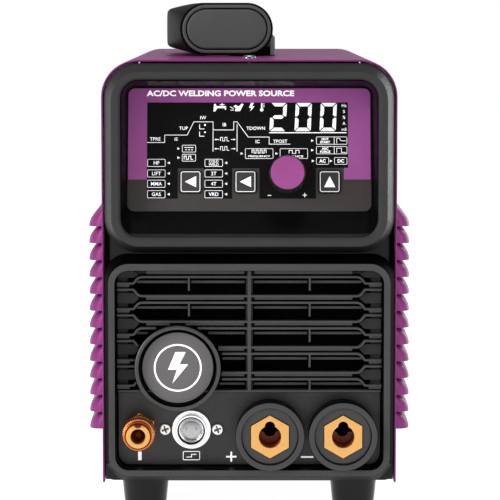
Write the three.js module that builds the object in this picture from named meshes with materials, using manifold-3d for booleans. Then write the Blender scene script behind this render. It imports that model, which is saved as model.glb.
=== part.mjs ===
// A portable inverter TIG welding machine: folded steel cover over a tray, two moldings on the
// front, a tilted control panel, current and gas sockets, and a carry handle that folds flat.
// Millimetres. +Z is up, the front faces -Y, and the feet stand on z = 0.

import * as THREE from 'three';
import { mergeVertices } from 'three/addons/utils/BufferGeometryUtils.js';
import Module from 'manifold-3d';

const wasm = await Module();
wasm.setup();

// ---------------------------------------------------------------- driving dimensions

const GAP = 0.3;
const FRONT_RIM = -234;
const QUARTER = Math.PI / 2;

// Depths, written as distances behind the front moldings' flat rims.
const DEPTH = { coverFront: 20, coverBack: 450, rearRim: 468 };

const COVER = { halfWidth: 88, top: 270, bottom: 17, shoulder: 22, wall: 1.2 };
const LOUVRE = {
  count: 13, pitch: 10.3, lowest: 45.8, reach: 9.6, rise: 9.1, wall: 1.2, starts: [45, 250], length: 180,
};
const BULKHEAD = { halfWidth: 86.2, bottom: 18.2, top: 267.8, thickness: 2.5, shoulder: 20.5, corner: 5 };
const PANEL = { bottom: 180.5, depth: 14, tilt: 13.2 * Math.PI / 180, halfWidth: 72.6, height: 74.7 };
const LCD = { left: -60.7, right: 58.6, low: 26.2, high: 65.5 };
const BUTTONS = { button_left: -34.9, button_middle: -2.3, button_right: 47.7 };
const BUTTON = { height: 17.6, halfWidth: 6.35, halfHeight: 6.7, proud: 1.3, length: 6.8 };
const KNOB = { x: 22.5, height: 20.5, radius: 11, front: 17, face: 10 };
const BOARD_DEPTH = 9;

const LOWER_FRAME = { innerHalfWidth: 79.4, bottom: 27.6, top: 146.2 };
const GRILLE = { halfWidth: 78.5, bottom: 73, top: 145.6, front: 7, thickness: 4, topRib: 142, pitch: 15.2 };
const CONNECTOR_PANEL = { halfWidth: 78.4, bottom: 28.2, top: 72.3, front: 15, thickness: 2.6 };
const BADGE = { x: -42.4, z: 88.2, radius: 25.5, inner: 22.3, face: 4.6 };
const DINSE = {
  left: 12.2, right: 55.5, z: 48.2, collar: 19.9, recess: 17, across: 22.4, bore: 6.6, key: 3, keyOffset: 6.1,
  stud: 8.8, front: -5, back: 38, boreEnd: 31,
};
const GAS = { x: -65.2, z: 50.7, radius: 9.5, front: -19, bore: 4.3, travel: 3 };
const TORCH = { x: -34.6, z: 50, flange: 11.7, barrel: 9.4, inner: 8.2, screwOffset: 15.65 };

const FOOT = { x: 63.4, front: 50, back: 420, top: 14.8, bottom: 12.8, height: 17.8 };

const HANDLE = {
  pivotX: -1.6, pivotZ: 287.3, thickness: 33.2, right: 15, front: 135, back: 335, leg: 24, inside: -27, pin: 4,
  legReach: -43.7, gripReach: -55, gripHeight: 31, gripCorner: 9,
};

const FAN = { z: 165, half: 60, bore: 58, front: 421.5, back: 446.6, hub: 17, blades: 7 };
const REAR_PANEL = { front: 447, back: 449.5 };
const SWITCH = { x: -52, z: 70, pivot: 447, tilt: 12 * Math.PI / 180 };
const GLAND = { x: 52, z: 70, hole: 10.1 };
const GAS_INLET = { x: -20, z: 50, end: 487 };
const STUD = { x: 22, z: 45 };

// ---------------------------------------------------------------- helpers

const behindRim = (depth) => FRONT_RIM + depth;

// Keeps positions only, merges shared corners and drops triangles that have collapsed.
function closed(geometry) {
  const bare = geometry.clone();
  bare.deleteAttribute('normal');
  bare.deleteAttribute('uv');
  const merged = mergeVertices(bare);
  const source = merged.index.array;
  const kept = [];
  for (let i = 0; i < source.length; i += 3) {
    const [a, b, c] = [source[i], source[i + 1], source[i + 2]];
    if (a !== b && b !== c && c !== a) kept.push(a, b, c);
  }
  merged.setIndex(kept);
  return merged;
}

function toSolid(geometry) {
  const merged = closed(geometry);
  return new wasm.Manifold(new wasm.Mesh({
    numProp: 3,
    vertProperties: new Float32Array(merged.attributes.position.array),
    triVerts: new Uint32Array(merged.index.array),
  }));
}

function toGeometry(solid) {
  const mesh = solid.getMesh();
  const geometry = new THREE.BufferGeometry();
  geometry.setAttribute('position', new THREE.Float32BufferAttribute(mesh.vertProperties, 3));
  geometry.setIndex([...mesh.triVerts]);
  return geometry;
}

// Joins the first list of geometries, then cuts away the second.
function shaped(joined, removed = []) {
  let solid = toSolid(joined[0]);
  for (const geometry of joined.slice(1)) solid = solid.add(toSolid(geometry));
  for (const geometry of removed) solid = solid.subtract(toSolid(geometry));
  return toGeometry(solid);
}

const group = new THREE.Group();

function addPart(name, geometry, finish, parent = group) {
  const bare = closed(geometry);
  bare.computeVertexNormals();
  const mesh = new THREE.Mesh(bare, new THREE.MeshStandardMaterial(finish));
  mesh.name = name;
  parent.add(mesh);
  return mesh;
}

// A block between two corners.
function block(low, high) {
  const size = high.map((value, axis) => value - low[axis]);
  const centre = high.map((value, axis) => (value + low[axis]) / 2);
  return new THREE.BoxGeometry(...size).translate(...centre);
}

// A round bar along Y, from one depth to another.
function barY(radius, from, to, x, z, segments = 20) {
  const length = to - from;
  const geometry = new THREE.CylinderGeometry(radius, radius, length, segments);
  return geometry.translate(x, behindRim(from + length / 2), z);
}

// A hexagonal bar along Y with a corner at the top.
function hexY(acrossFlats, from, to, x, z) {
  return barY(acrossFlats / Math.sqrt(3), from, to, x, z, 6);
}

// A turned piece about a Y axis. The profile is [radius, depth] pairs in order of depth
// outside and back again inside, or from axis to axis for a piece with no hole.
function turnedY(profile, x, z, segments = 24) {
  const points = profile.map(([radius, depth]) => new THREE.Vector2(radius, behindRim(depth)));
  const geometry = new THREE.LatheGeometry(points, segments).translate(x, 0, z);
  return facingOut(closed(geometry));
}

// A plain tube about a Y axis.
function tubeY(outer, inner, from, to, x, z, segments = 24) {
  const profile = [[inner, from], [outer, from], [outer, to], [inner, to], [inner, from]];
  return turnedY(profile, x, z, segments);
}

function signedVolume(geometry) {
  const [a, b, c] = [new THREE.Vector3(), new THREE.Vector3(), new THREE.Vector3()];
  const positions = geometry.attributes.position;
  const index = geometry.index.array;
  let volume = 0;
  for (let i = 0; i < index.length; i += 3) {
    a.fromBufferAttribute(positions, index[i]);
    b.fromBufferAttribute(positions, index[i + 1]);
    c.fromBufferAttribute(positions, index[i + 2]);
    volume += a.dot(b.cross(c)) / 6;
  }
  return volume;
}

function facingOut(geometry) {
  if (signedVolume(geometry) < 0) geometry.setIndex([...geometry.index.array].reverse());
  return geometry;
}

// Corner points of a rounded rectangle as [across, up] pairs, anticlockwise from the lower right.
function roundedOutline(halfWidth, low, high, radiusHigh, radiusLow = radiusHigh, steps = 4) {
  const corners = [
    [halfWidth - radiusLow, low + radiusLow, radiusLow, -QUARTER],
    [halfWidth - radiusHigh, high - radiusHigh, radiusHigh, 0],
    [-halfWidth + radiusHigh, high - radiusHigh, radiusHigh, QUARTER],
    [-halfWidth + radiusLow, low + radiusLow, radiusLow, 2 * QUARTER],
  ];
  const points = [];
  for (const [x, y, radius, start] of corners) {
    for (let i = 0; i <= steps; i++) {
      const angle = start + QUARTER * i / steps;
      points.push([x + radius * Math.cos(angle), y + radius * Math.sin(angle)]);
    }
  }
  return points;
}

const outlineShape = (points) => new THREE.Shape(points.map(([x, y]) => new THREE.Vector2(x, y)));

const circleHole = (x, y, radius) => new THREE.Path().absarc(x, y, radius, 0, 2 * Math.PI, true);

// Extrudes an upright outline backwards from a depth.
function uprightPlate(shape, from, thickness, curveSegments = 8) {
  const geometry = new THREE.ExtrudeGeometry(shape, { depth: thickness, bevelEnabled: false, curveSegments });
  return geometry.rotateX(QUARTER).translate(0, behindRim(from + thickness), 0);
}

// Skins a closed chain of loops that each have the same number of points.
function ringLoft(loops) {
  const count = loops[0].length;
  const indices = [];
  loops.forEach((_, row) => {
    const next = (row + 1) % loops.length;
    for (let i = 0; i < count; i++) {
      const j = (i + 1) % count;
      const [a, b, c, d] = [row * count + i, row * count + j, next * count + j, next * count + i];
      indices.push(a, b, c, a, c, d);
    }
  });
  return skin(loops, indices);
}

// Skins a row of convex loops and closes the first and last with a fan.
function cappedLoft(loops) {
  const count = loops[0].length;
  const last = (loops.length - 1) * count;
  const indices = [];
  for (let row = 0; row < loops.length - 1; row++) {
    for (let i = 0; i < count; i++) {
      const j = (i + 1) % count;
      const [a, b, c, d] = [row * count + i, row * count + j, (row + 1) * count + j, (row + 1) * count + i];
      indices.push(a, b, c, a, c, d);
    }
  }
  for (let i = 1; i < count - 1; i++) {
    indices.push(0, i + 1, i);
    indices.push(last, last + i, last + i + 1);
  }
  return skin(loops, indices);
}

function skin(loops, indices) {
  const geometry = new THREE.BufferGeometry();
  const positions = loops.flat().flatMap((point) => point.toArray());
  geometry.setAttribute('position', new THREE.Float32BufferAttribute(positions, 3));
  geometry.setIndex(indices);
  return facingOut(geometry);
}

const uprightLoop = (points, depth) => points.map(([x, z]) => new THREE.Vector3(x, behindRim(depth), z));

// ---------------------------------------------------------------- finishes

const FINISH = {
  purple: { color: 0x9a5c94, roughness: 0.5, metalness: 0.2 },
  gloss: { color: 0x101012, roughness: 0.2, metalness: 0 },
  molding: { color: 0x46464a, roughness: 0.5, metalness: 0 },
  darkMolding: { color: 0x2a2a2d, roughness: 0.5, metalness: 0 },
  rubber: { color: 0x0c0c0d, roughness: 0.6, metalness: 0 },
  grip: { color: 0x4d4d50, roughness: 0.55, metalness: 0 },
  brass: { color: 0xd9a050, roughness: 0.3, metalness: 1 },
  steel: { color: 0xb8babd, roughness: 0.35, metalness: 1 },
  board: { color: 0x1d5a35, roughness: 0.6, metalness: 0 },
  glass: { color: 0x050507, roughness: 0.08, metalness: 0 },
  aluminium: { color: 0xc0c4c8, roughness: 0.4, metalness: 1 },
  copper: { color: 0xa85a30, roughness: 0.4, metalness: 1 },
};

// ---------------------------------------------------------------- steel case

function coverSection(halfWidth, top, shoulder, bottom) {
  const points = [[halfWidth, bottom]];
  const steps = 6;
  for (const [side, start] of [[1, 0], [-1, QUARTER]]) {
    for (let i = 0; i <= steps; i++) {
      const angle = start + QUARTER * i / steps;
      const x = side * (halfWidth - shoulder) + shoulder * Math.cos(angle);
      points.push([x, top - shoulder + shoulder * Math.sin(angle)]);
    }
  }
  points.push([-halfWidth, bottom]);
  return points;
}

// Quarter-round scoop profile on the right-hand wall, mouth down at z = 0.
function scoopProfile(inside, reach, rise, mouth) {
  const steps = 3;
  const wallFace = COVER.halfWidth;
  const points = [[inside, 0], [wallFace, 0], [wallFace, mouth]];
  for (let i = 0; i <= steps; i++) {
    const angle = QUARTER * i / steps;
    const height = i === 0 ? mouth : rise * Math.sin(angle);
    points.push([wallFace + reach * Math.cos(angle), height]);
  }
  points.push([inside, rise]);
  return points.filter(([x, z], i) => i === 0 || x !== points[i - 1][0] || z !== points[i - 1][1]);
}

function louvrePieces(inset, inside, mouth) {
  const profile = scoopProfile(inside, LOUVRE.reach - inset, LOUVRE.rise - inset, mouth);
  const pieces = [];
  for (const start of LOUVRE.starts) {
    for (let row = 0; row < LOUVRE.count; row++) {
      const z = LOUVRE.lowest + row * LOUVRE.pitch;
      for (const side of [1, -1]) {
        const ordered = side > 0 ? profile : [...profile].reverse();
        const outline = ordered.map(([x, up]) => [side * x, z + up]);
        pieces.push(uprightPlate(outlineShape(outline), start + inset, LOUVRE.length - 2 * inset));
      }
    }
  }
  return pieces;
}

function topCover() {
  const { halfWidth, top, shoulder, bottom, wall } = COVER;
  const outer = coverSection(halfWidth, top, shoulder, bottom);
  const inner = coverSection(halfWidth - wall, top - wall, shoulder - wall, bottom);
  const shape = outlineShape([...outer, ...inner.reverse()]);
  const shell = uprightPlate(shape, DEPTH.coverFront, DEPTH.coverBack - DEPTH.coverFront);
  const holes = [DEPTH.coverFront + 41, DEPTH.coverBack - 41].map((depth) => screwHole(depth));
  const scoops = louvrePieces(0, halfWidth - wall / 2, 0);
  const hollows = louvrePieces(LOUVRE.wall, halfWidth - wall - 1, -GAP);
  return shaped([shell, ...scoops], [...hollows, ...holes]);
}

function screwHole(depth) {
  const geometry = new THREE.CylinderGeometry(2.4, 2.4, 6, 16);
  return geometry.rotateX(QUARTER).translate(0, behindRim(depth), COVER.top);
}

// Pan head on the cover with its shank down through the hole.
function coverScrew(depth) {
  const profile = [[0, -7], [2, -7], [2, 0.3], [4, 0.3], [4, 1.4], [3, 2.3], [0, 2.3]];
  const points = profile.map(([radius, height]) => new THREE.Vector2(radius, height));
  const geometry = new THREE.LatheGeometry(points, 16).rotateX(QUARTER);
  return facingOut(closed(geometry.translate(0, behindRim(depth), COVER.top)));
}

function baseTray() {
  const [front, back] = [behindRim(23), behindRim(446.6)];
  const [half, wall, floor] = [86.2, 1.5, 18.2];
  const pieces = [block([-half, front, floor], [half, back, floor + wall])];
  pieces.push(block([-half, front, floor], [wall - half, back, 44]));
  pieces.push(block([half - wall, front, floor], [half, back, 44]));
  return shaped(pieces);
}

function casePlate(from, holes) {
  const { halfWidth, bottom, top, thickness, shoulder, corner } = BULKHEAD;
  const shape = outlineShape(roundedOutline(halfWidth, bottom, top, shoulder, corner));
  shape.holes.push(...holes);
  return uprightPlate(shape, from, thickness);
}

function windowHole(left, right, low, high) {
  const corners = [[left, low], [left, high], [right, high], [right, low]];
  return new THREE.Path(corners.map(([x, z]) => new THREE.Vector2(x, z)));
}

function frontBulkhead() {
  return casePlate(20.1, [
    windowHole(-78, 78, 168, 263),
    windowHole(-76, 76, 76, 144),
    circleHole(DINSE.left, DINSE.z, DINSE.stud + 0.4),
    circleHole(DINSE.right, DINSE.z, DINSE.stud + 0.4),
    circleHole(GAS.x, GAS.z, 6),
    circleHole(TORCH.x, TORCH.z, 9.8),
  ]);
}

// ---------------------------------------------------------------- front moldings

const panelMatrix = new THREE.Matrix4().makeRotationX(-PANEL.tilt)
  .setPosition(0, behindRim(PANEL.depth), PANEL.bottom);

// A loop in the tilted panel's own plane, a distance behind its face.
function tiltedLoop(points, behind) {
  return points.map(([x, up]) => new THREE.Vector3(x, behind, up).applyMatrix4(panelMatrix));
}

// A hollow channel: sloping outer skirt, flat rim, and inner walls down to the tilted panel.
function displayBezel() {
  const well = PANEL.halfWidth + 0.4;
  const wellFloor = -0.5;
  const wellTop = PANEL.height + 0.5;
  return ringLoft([
    uprightLoop(roundedOutline(81.3, 160.7, 263.3, 16.4), 0),
    uprightLoop(roundedOutline(86.3, 155.4, 268.2, 20.5), 19.7),
    uprightLoop(roundedOutline(84.3, 157.4, 266.2, 18.5), 19.7),
    uprightLoop(roundedOutline(80.2, 161.9, 262.1, 15), 3),
    uprightLoop(roundedOutline(78.2, 163.6, 260.7, 13.5), 3),
    tiltedLoop(roundedOutline(well + 2.2, wellFloor - 2.2, wellTop + 2.2, 6.5), 5),
    tiltedLoop(roundedOutline(well, wellFloor, wellTop, 4.7), 5),
    tiltedLoop(roundedOutline(well, wellFloor, wellTop, 4.7), 0),
    uprightLoop(roundedOutline(76.1, 165.6, 259.2, 11.5), 0),
  ]);
}

function lowerFrame() {
  const { innerHalfWidth, bottom, top } = LOWER_FRAME;
  return ringLoft([
    uprightLoop(roundedOutline(83.3, 23.7, 150.4, 12), 0),
    uprightLoop(roundedOutline(86.6, 17.9, 154.9, 14), 19.7),
    uprightLoop(roundedOutline(84.9, 19.6, 153.2, 12.5), 19.7),
    uprightLoop(roundedOutline(82.1, 24.9, 149.2, 11), 3),
    uprightLoop(roundedOutline(81, 26, 148.1, 10), 3),
    uprightLoop(roundedOutline(80.4, 26.4, 147.6, 9.4), 19.7),
    uprightLoop(roundedOutline(innerHalfWidth - 0.5, bottom + 0.2, top - 0.3, 8), 19.7),
    uprightLoop(roundedOutline(innerHalfWidth, bottom, top, 8), 0),
  ]);
}

// One half of a slot between two ribs, rounded at its outer end.
function slotCut(side, low, high) {
  const radius = (high - low) / 2;
  const [inner, outer] = [1.05, 68.5 - radius];
  const points = [[inner, low]];
  for (let i = 0; i <= 6; i++) {
    const angle = -QUARTER + 2 * QUARTER * i / 6;
    points.push([outer + radius * Math.cos(angle), (low + high) / 2 + radius * Math.sin(angle)]);
  }
  points.push([inner, high]);
  const { front, thickness } = GRILLE;
  return uprightPlate(outlineShape(points.map(([x, z]) => [side * x, z])), front - 1, thickness + 2);
}

function airGrille() {
  const { halfWidth, bottom, top, front, thickness, topRib, pitch } = GRILLE;
  const shape = outlineShape(roundedOutline(halfWidth, bottom, top, 7.6, 1));
  const slots = [];
  for (let row = 0; row < 5; row++) {
    const high = topRib - 0.7 - row * pitch;
    const low = Math.max(high - 9.9, bottom + 1.8);
    slots.push(slotCut(1, low, high), slotCut(-1, low, high));
  }
  const sill = block([-78.2, behindRim(front), bottom], [78.2, behindRim(14.7), bottom + 1.7]);
  const badgeRoom = barY(BADGE.radius + 0.4, -1, 20, BADGE.x, BADGE.z, 36);
  return shaped([uprightPlate(shape, front, thickness), sill], [...slots, badgeRoom]);
}

function connectorPanel() {
  const { halfWidth, bottom, top, front, thickness } = CONNECTOR_PANEL;
  const shape = outlineShape(roundedOutline(halfWidth, bottom, top, 1.5, 7.4));
  shape.holes.push(circleHole(DINSE.left, DINSE.z, DINSE.stud + 0.4));
  shape.holes.push(circleHole(DINSE.right, DINSE.z, DINSE.stud + 0.4));
  shape.holes.push(circleHole(GAS.x, GAS.z, 6));
  shape.holes.push(circleHole(TORCH.x, TORCH.z, TORCH.barrel + 0.3));
  shape.holes.push(circleHole(TORCH.x - TORCH.screwOffset, TORCH.z, 1.9));
  shape.holes.push(circleHole(TORCH.x + TORCH.screwOffset, TORCH.z, 1.9));
  return uprightPlate(shape, front, thickness);
}

// ---------------------------------------------------------------- tilted control panel

const panelGroup = new THREE.Group();
panelGroup.position.set(0, behindRim(PANEL.depth), PANEL.bottom);
panelGroup.rotation.x = -PANEL.tilt;
group.add(panelGroup);

// In the panel's own frame X runs across, Z up the face and Y into the case.
function facePlate(shape, from, thickness, curveSegments = 8) {
  const geometry = new THREE.ExtrudeGeometry(shape, { depth: thickness, bevelEnabled: false, curveSegments });
  return geometry.rotateX(QUARTER).translate(0, from + thickness, 0);
}

function faceBar(radius, from, to, x, up, segments = 24) {
  const length = to - from;
  return new THREE.CylinderGeometry(radius, radius, length, segments).translate(x, from + length / 2, up);
}

function controlPanel() {
  const [front, back] = [-1, 4];
  const cuts = [block([LCD.left, front, LCD.low], [LCD.right, back, LCD.high])];
  for (const x of Object.values(BUTTONS)) {
    const [wide, tall] = [BUTTON.halfWidth + 0.35, BUTTON.halfHeight + 0.35];
    cuts.push(block([x - wide, front, BUTTON.height - tall], [x + wide, back, BUTTON.height + tall]));
  }
  cuts.push(faceBar(3.9, front, back, KNOB.x, KNOB.height));
  const outline = outlineShape(roundedOutline(PANEL.halfWidth, 0, PANEL.height, 4.3));
  return shaped([facePlate(outline, 0, 2.5)], cuts);
}

function lcdModule() {
  const low = [LCD.left + 0.4, 0.1, LCD.low + 0.4];
  return block(low, [LCD.right - 0.4, 7, LCD.high - 0.4]);
}

function buttonCap() {
  const { halfWidth, halfHeight, proud, length } = BUTTON;
  return facePlate(outlineShape(roundedOutline(halfWidth, -halfHeight, halfHeight, 1.6)), -proud, length);
}

function controlBoard() {
  const pieces = [block([-66, BOARD_DEPTH, 3], [66, BOARD_DEPTH + 1.6, 70])];
  for (const x of Object.values(BUTTONS)) {
    const up = BUTTON.height;
    pieces.push(block([x - 3, 7, up - 3], [x + 3, BOARD_DEPTH + 0.5, up + 3]));
  }
  return shaped(pieces);
}

function encoderBody() {
  const { x, height } = KNOB;
  const can = block([x - 6, 2.8, height - 6], [x + 6, BOARD_DEPTH - GAP, height + 6]);
  const bushing = faceBar(3.5, -5, 4, x, height);
  return shaped([can, bushing], [faceBar(3.1, -6, 7, x, height)]);
}

const encoderShaft = () => faceBar(2.9, -14, 6.6, KNOB.x, KNOB.height);

function knobBody() {
  const { x, height, radius, front } = KNOB;
  const outside = faceBar(radius, -front, -1.2, x, height, 36);
  const faceSeat = faceBar(10.3, -front - 1, 1.6 - front, x, height, 36);
  const underside = faceBar(8, -6, 0, x, height, 24);
  const shaftBore = faceBar(3.2, -14.4, -5, x, height);
  return shaped([outside], [faceSeat, underside, shaftBore]);
}

const knobCap = () => faceBar(KNOB.face, -KNOB.front - 0.4, 1.3 - KNOB.front, KNOB.x, KNOB.height, 32);

// ---------------------------------------------------------------- sockets on the lower panel

function dinseCollar(x) {
  const { collar, recess, front, z } = DINSE;
  const profile = [
    [recess, front], [collar - 0.8, front], [collar, front + 0.8], [collar, 14.7], [13.4, 14.7],
    [13.4, front + 2], [recess, front + 2], [recess, front],
  ];
  return turnedY(profile, x, z);
}

function dinseInsert(x) {
  const { z, across, bore, stud, key, keyOffset, back, boreEnd } = DINSE;
  const solids = [hexY(across, -4.2, 13, x, z), barY(stud, 12, back, x, z)];
  const cuts = [barY(bore, -6, boreEnd, x, z, 28), barY(key, -6, 20, x, z + keyOffset, 16)];
  return shaped(solids, cuts);
}

function dinseNut(x) {
  const bore = barY(DINSE.stud + GAP, 20, 34, x, DINSE.z);
  return shaped([hexY(26, 22.9, 30, x, DINSE.z)], [bore]);
}

function gasCouplerBody() {
  const { x, z, front, bore } = GAS;
  const solids = [
    barY(6.2, front, 10, x, z), hexY(17, 9, 14.7, x, z), barY(5.6, 14, 32, x, z), barY(3.8, 31, 40, x, z),
  ];
  return shaped(solids, [barY(bore, front - 1, 12, x, z), barY(2.4, 8, 42, x, z, 16)]);
}

const gasCouplerSleeve = () => tubeY(GAS.radius, 6.5, GAS.front + 1.2, 5.7, GAS.x, GAS.z, 28);

function torchSocketShell() {
  const { x, z, flange, barrel, inner } = TORCH;
  const profile = [
    [inner, 7], [barrel, 7], [barrel, 12.4], [flange, 12.4], [flange, 14.7], [barrel, 14.7], [barrel, 27],
    [inner, 27], [inner, 7],
  ];
  return turnedY(profile, x, z);
}

function torchSocketInsert() {
  const { x, z, inner } = TORCH;
  const solids = [barY(inner - GAP, 9.5, 27, x, z, 28)];
  for (const side of [-1, 1]) solids.push(barY(0.9, 7.6, 10, x + side * 3, z, 10));
  return shaped(solids);
}

function panelScrew(x) {
  const profile = [[0, 12.6], [2.4, 12.6], [3.3, 13.4], [3.3, 14.7], [1.6, 14.7], [1.6, 19.8], [0, 19.8]];
  return turnedY(profile, x, TORCH.z, 16);
}

// ---------------------------------------------------------------- feet and handle

function foot(x, depth) {
  const { top, bottom, height } = FOOT;
  const profile = [[0, 0], [bottom - 1.5, 0], [bottom, 1.5], [top, height], [0, height]];
  const points = profile.map(([radius, up]) => new THREE.Vector2(radius, up));
  const geometry = new THREE.LatheGeometry(points, 24).rotateX(QUARTER);
  return facingOut(closed(geometry.translate(x, behindRim(depth), 0)));
}

// A section across the handle at one depth: a full-round right end, and left corners of their own radius.
function gripSection(left, right, height, corner, depth, steps = 5) {
  const radius = height / 2;
  const rise = radius - corner;
  const arcs = [
    [right - radius, 0, radius, -QUARTER, 2 * QUARTER],
    [left + corner, rise, corner, QUARTER, QUARTER],
    [left + corner, -rise, corner, 2 * QUARTER, QUARTER],
  ];
  const points = [];
  for (const [x, up, size, start, sweep] of arcs) {
    for (let i = 0; i <= steps; i++) {
      const angle = start + sweep * i / steps;
      const z = HANDLE.pivotZ + up + size * Math.sin(angle);
      points.push(new THREE.Vector3(x + size * Math.cos(angle), behindRim(depth), z));
    }
  }
  return points;
}

function handleGrip() {
  const { front, back, leg, pivotX, pivotZ, pin } = HANDLE;
  const { legReach, gripReach, thickness, gripHeight, gripCorner, right, inside } = HANDLE;
  const steps = 8;
  const legCorner = thickness / 2 - 0.2;
  const sections = [];
  for (let i = 0; i <= steps; i++) {
    const share = i / steps;
    const bulge = Math.sin(Math.PI * share);
    const left = legReach + (gripReach - legReach) * bulge;
    const height = thickness + (gripHeight - thickness) * bulge;
    const corner = legCorner + (gripCorner - legCorner) * bulge;
    sections.push(gripSection(left, right, height, corner, front + (back - front) * share));
  }
  const opening = block([inside, behindRim(front + leg), 260], [30, behindRim(back - leg), 320]);
  const bores = [
    barY(pin + 0.15, front + 6, front + leg + 1, pivotX, pivotZ),
    barY(pin + 0.15, back - leg - 1, back - 6, pivotX, pivotZ),
  ];
  return shaped([cappedLoft(sections)], [opening, ...bores]);
}

// The raised oval on a leg's end face.
function handleCap(from) {
  const inset = 1.2;
  const height = HANDLE.thickness - 2 * inset;
  const { legReach, right } = HANDLE;
  const points = gripSection(legReach + inset, right - inset, height, height / 2 - 0.2, 0);
  return uprightPlate(outlineShape(points.map((point) => [point.x, point.z])), from, 1.7);
}

function handleBase() {
  const { front, back, leg, pivotX, pivotZ, pin } = HANDLE;
  const [start, end] = [front + leg + 1, back - leg - 1];
  const low = COVER.top + 0.4;
  const solids = [
    block([-13, behindRim(start), low], [16.5, behindRim(end), 276]),
    block([13.3, behindRim(start), 275], [16.5, behindRim(end), 283.4]),
  ];
  const bores = [];
  for (const [from, to] of [[start, start + 9], [end - 9, end]]) {
    solids.push(barY(10.5, from, to, pivotX, pivotZ));
    solids.push(block([pivotX - 10.5, behindRim(from), 275], [pivotX + 10.5, behindRim(to), pivotZ]));
    bores.push(barY(pin + 0.15, from - 1, to + 1, pivotX, pivotZ));
  }
  return shaped(solids, bores);
}

// ---------------------------------------------------------------- rear end

function rearFrame() {
  const rim = DEPTH.rearRim;
  const front = DEPTH.coverBack + GAP;
  return ringLoft([
    uprightLoop(roundedOutline(82.5, 22, 264, 17, 10), rim),
    uprightLoop(roundedOutline(86.6, 17.9, 268.3, 21, 13), front),
    uprightLoop(roundedOutline(84.7, 19.8, 266.4, 19, 12), front),
    uprightLoop(roundedOutline(81.4, 23.2, 262.9, 16, 9), rim - 3),
    uprightLoop(roundedOutline(79.2, 25.2, 260.8, 13.7, 7.5), rim - 3),
    uprightLoop(roundedOutline(78.7, 25.8, 260.2, 13.2, 7), front),
    uprightLoop(roundedOutline(76.9, 27.6, 258.4, 11.5, 6), front),
    uprightLoop(roundedOutline(77.5, 27, 259, 12, 6), rim),
  ]);
}

function rearPanel() {
  return casePlate(REAR_PANEL.front, [
    circleHole(0, FAN.z, FAN.bore - 1),
    windowHole(SWITCH.x - 12, SWITCH.x + 12, SWITCH.z - 15, SWITCH.z + 15),
    circleHole(GLAND.x, GLAND.z, GLAND.hole),
    circleHole(GAS_INLET.x, GAS_INLET.z, 5.4),
    circleHole(STUD.x, STUD.z, 4.4),
  ]);
}

function fanFrame() {
  const { z, half, bore, front, back } = FAN;
  const frame = block([-half, behindRim(front), z - half], [half, behindRim(back), z + half]);
  const arms = [barY(18, back - 4, back, 0, z)];
  for (const turn of [0, 1, 2, 3]) {
    const arm = block([10, behindRim(back - 3), -2], [half - 1, behindRim(back), 2]);
    arms.push(arm.rotateY(QUARTER * turn).translate(0, 0, z));
  }
  const open = shaped([frame], [barY(bore, front - 1, back + 1, 0, z, 36)]);
  return shaped([open, ...arms], [barY(3, back - 6, back + 1, 0, z, 16)]);
}

function fanImpeller() {
  const { z, hub, front, back, blades, bore } = FAN;
  const solids = [barY(hub, front + 2, back - 5, 0, z), barY(2.7, back - 6, back - 1, 0, z, 16)];
  for (let i = 0; i < blades; i++) {
    const blade = block([hub - 2, -9.5, -0.9], [bore - 2, 9.5, 0.9]);
    blade.rotateX(0.9).rotateY(2 * Math.PI * i / blades);
    solids.push(blade.translate(0, behindRim((front + back) / 2 - 1.5), z));
  }
  return shaped(solids);
}

function fanGuard() {
  const { z } = FAN;
  const [from, to] = [REAR_PANEL.back + GAP, REAR_PANEL.back + 2.7];
  const rings = [20, 40, 60].map((radius) => tubeY(radius, radius - 2, from, to, 0, z, 20));
  const spokes = [];
  for (const turn of [0.5, 1.5, 2.5, 3.5]) {
    const spoke = block([18.6, behindRim(from), -1.5], [66, behindRim(to), 1.5]);
    spokes.push(spoke.rotateY(QUARTER * turn).translate(0, 0, z));
  }
  return shaped([...rings, ...spokes]);
}

function switchHousing() {
  const { x, z, pivot } = SWITCH;
  const [from, to] = [REAR_PANEL.back + GAP, REAR_PANEL.back + 2.7];
  const flange = block([x - 13.5, behindRim(from), z - 16.5], [x + 13.5, behindRim(to), z + 16.5]);
  const body = block([x - 11.5, behindRim(430), z - 14.5], [x + 11.5, behindRim(from), z + 14.5]);
  const cavity = block([x - 9.5, behindRim(437), z - 12.5], [x + 9.5, behindRim(to + 1), z + 12.5]);
  const bore = new THREE.CylinderGeometry(1.9, 1.9, 30, 16).rotateZ(QUARTER);
  return shaped([flange, body], [cavity, bore.translate(x, behindRim(pivot), z)]);
}

// Two flats that meet in a shallow V across the middle, with a trunnion on each side.
function powerRocker() {
  const outline = [[-11, -3.5], [-11, 6.2], [0, 4], [11, 6.2], [11, -3.5], [0, -6]];
  const shape = new THREE.Shape(outline.map(([up, out]) => new THREE.Vector2(up, out)));
  const body = new THREE.ExtrudeGeometry(shape, { depth: 18, bevelEnabled: false });
  body.translate(0, 0, -9).rotateY(-QUARTER);
  const trunnions = new THREE.CylinderGeometry(1.5, 1.5, 22, 12).rotateZ(QUARTER);
  return shaped([body, trunnions]);
}

function cableGland() {
  const { x, z } = GLAND;
  const from = REAR_PANEL.back + GAP;
  const profile = [
    [5.5, 440], [9.8, 440], [9.8, from], [11.4, from], [11.4, 461], [8.5, 466], [5.5, 466], [5.5, 440],
  ];
  const hole = barY(5.5, 438, 470, x, z, 24);
  return shaped([turnedY(profile, x, z, 24), hexY(24, from, from + 5, x, z)], [hole]);
}

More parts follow.
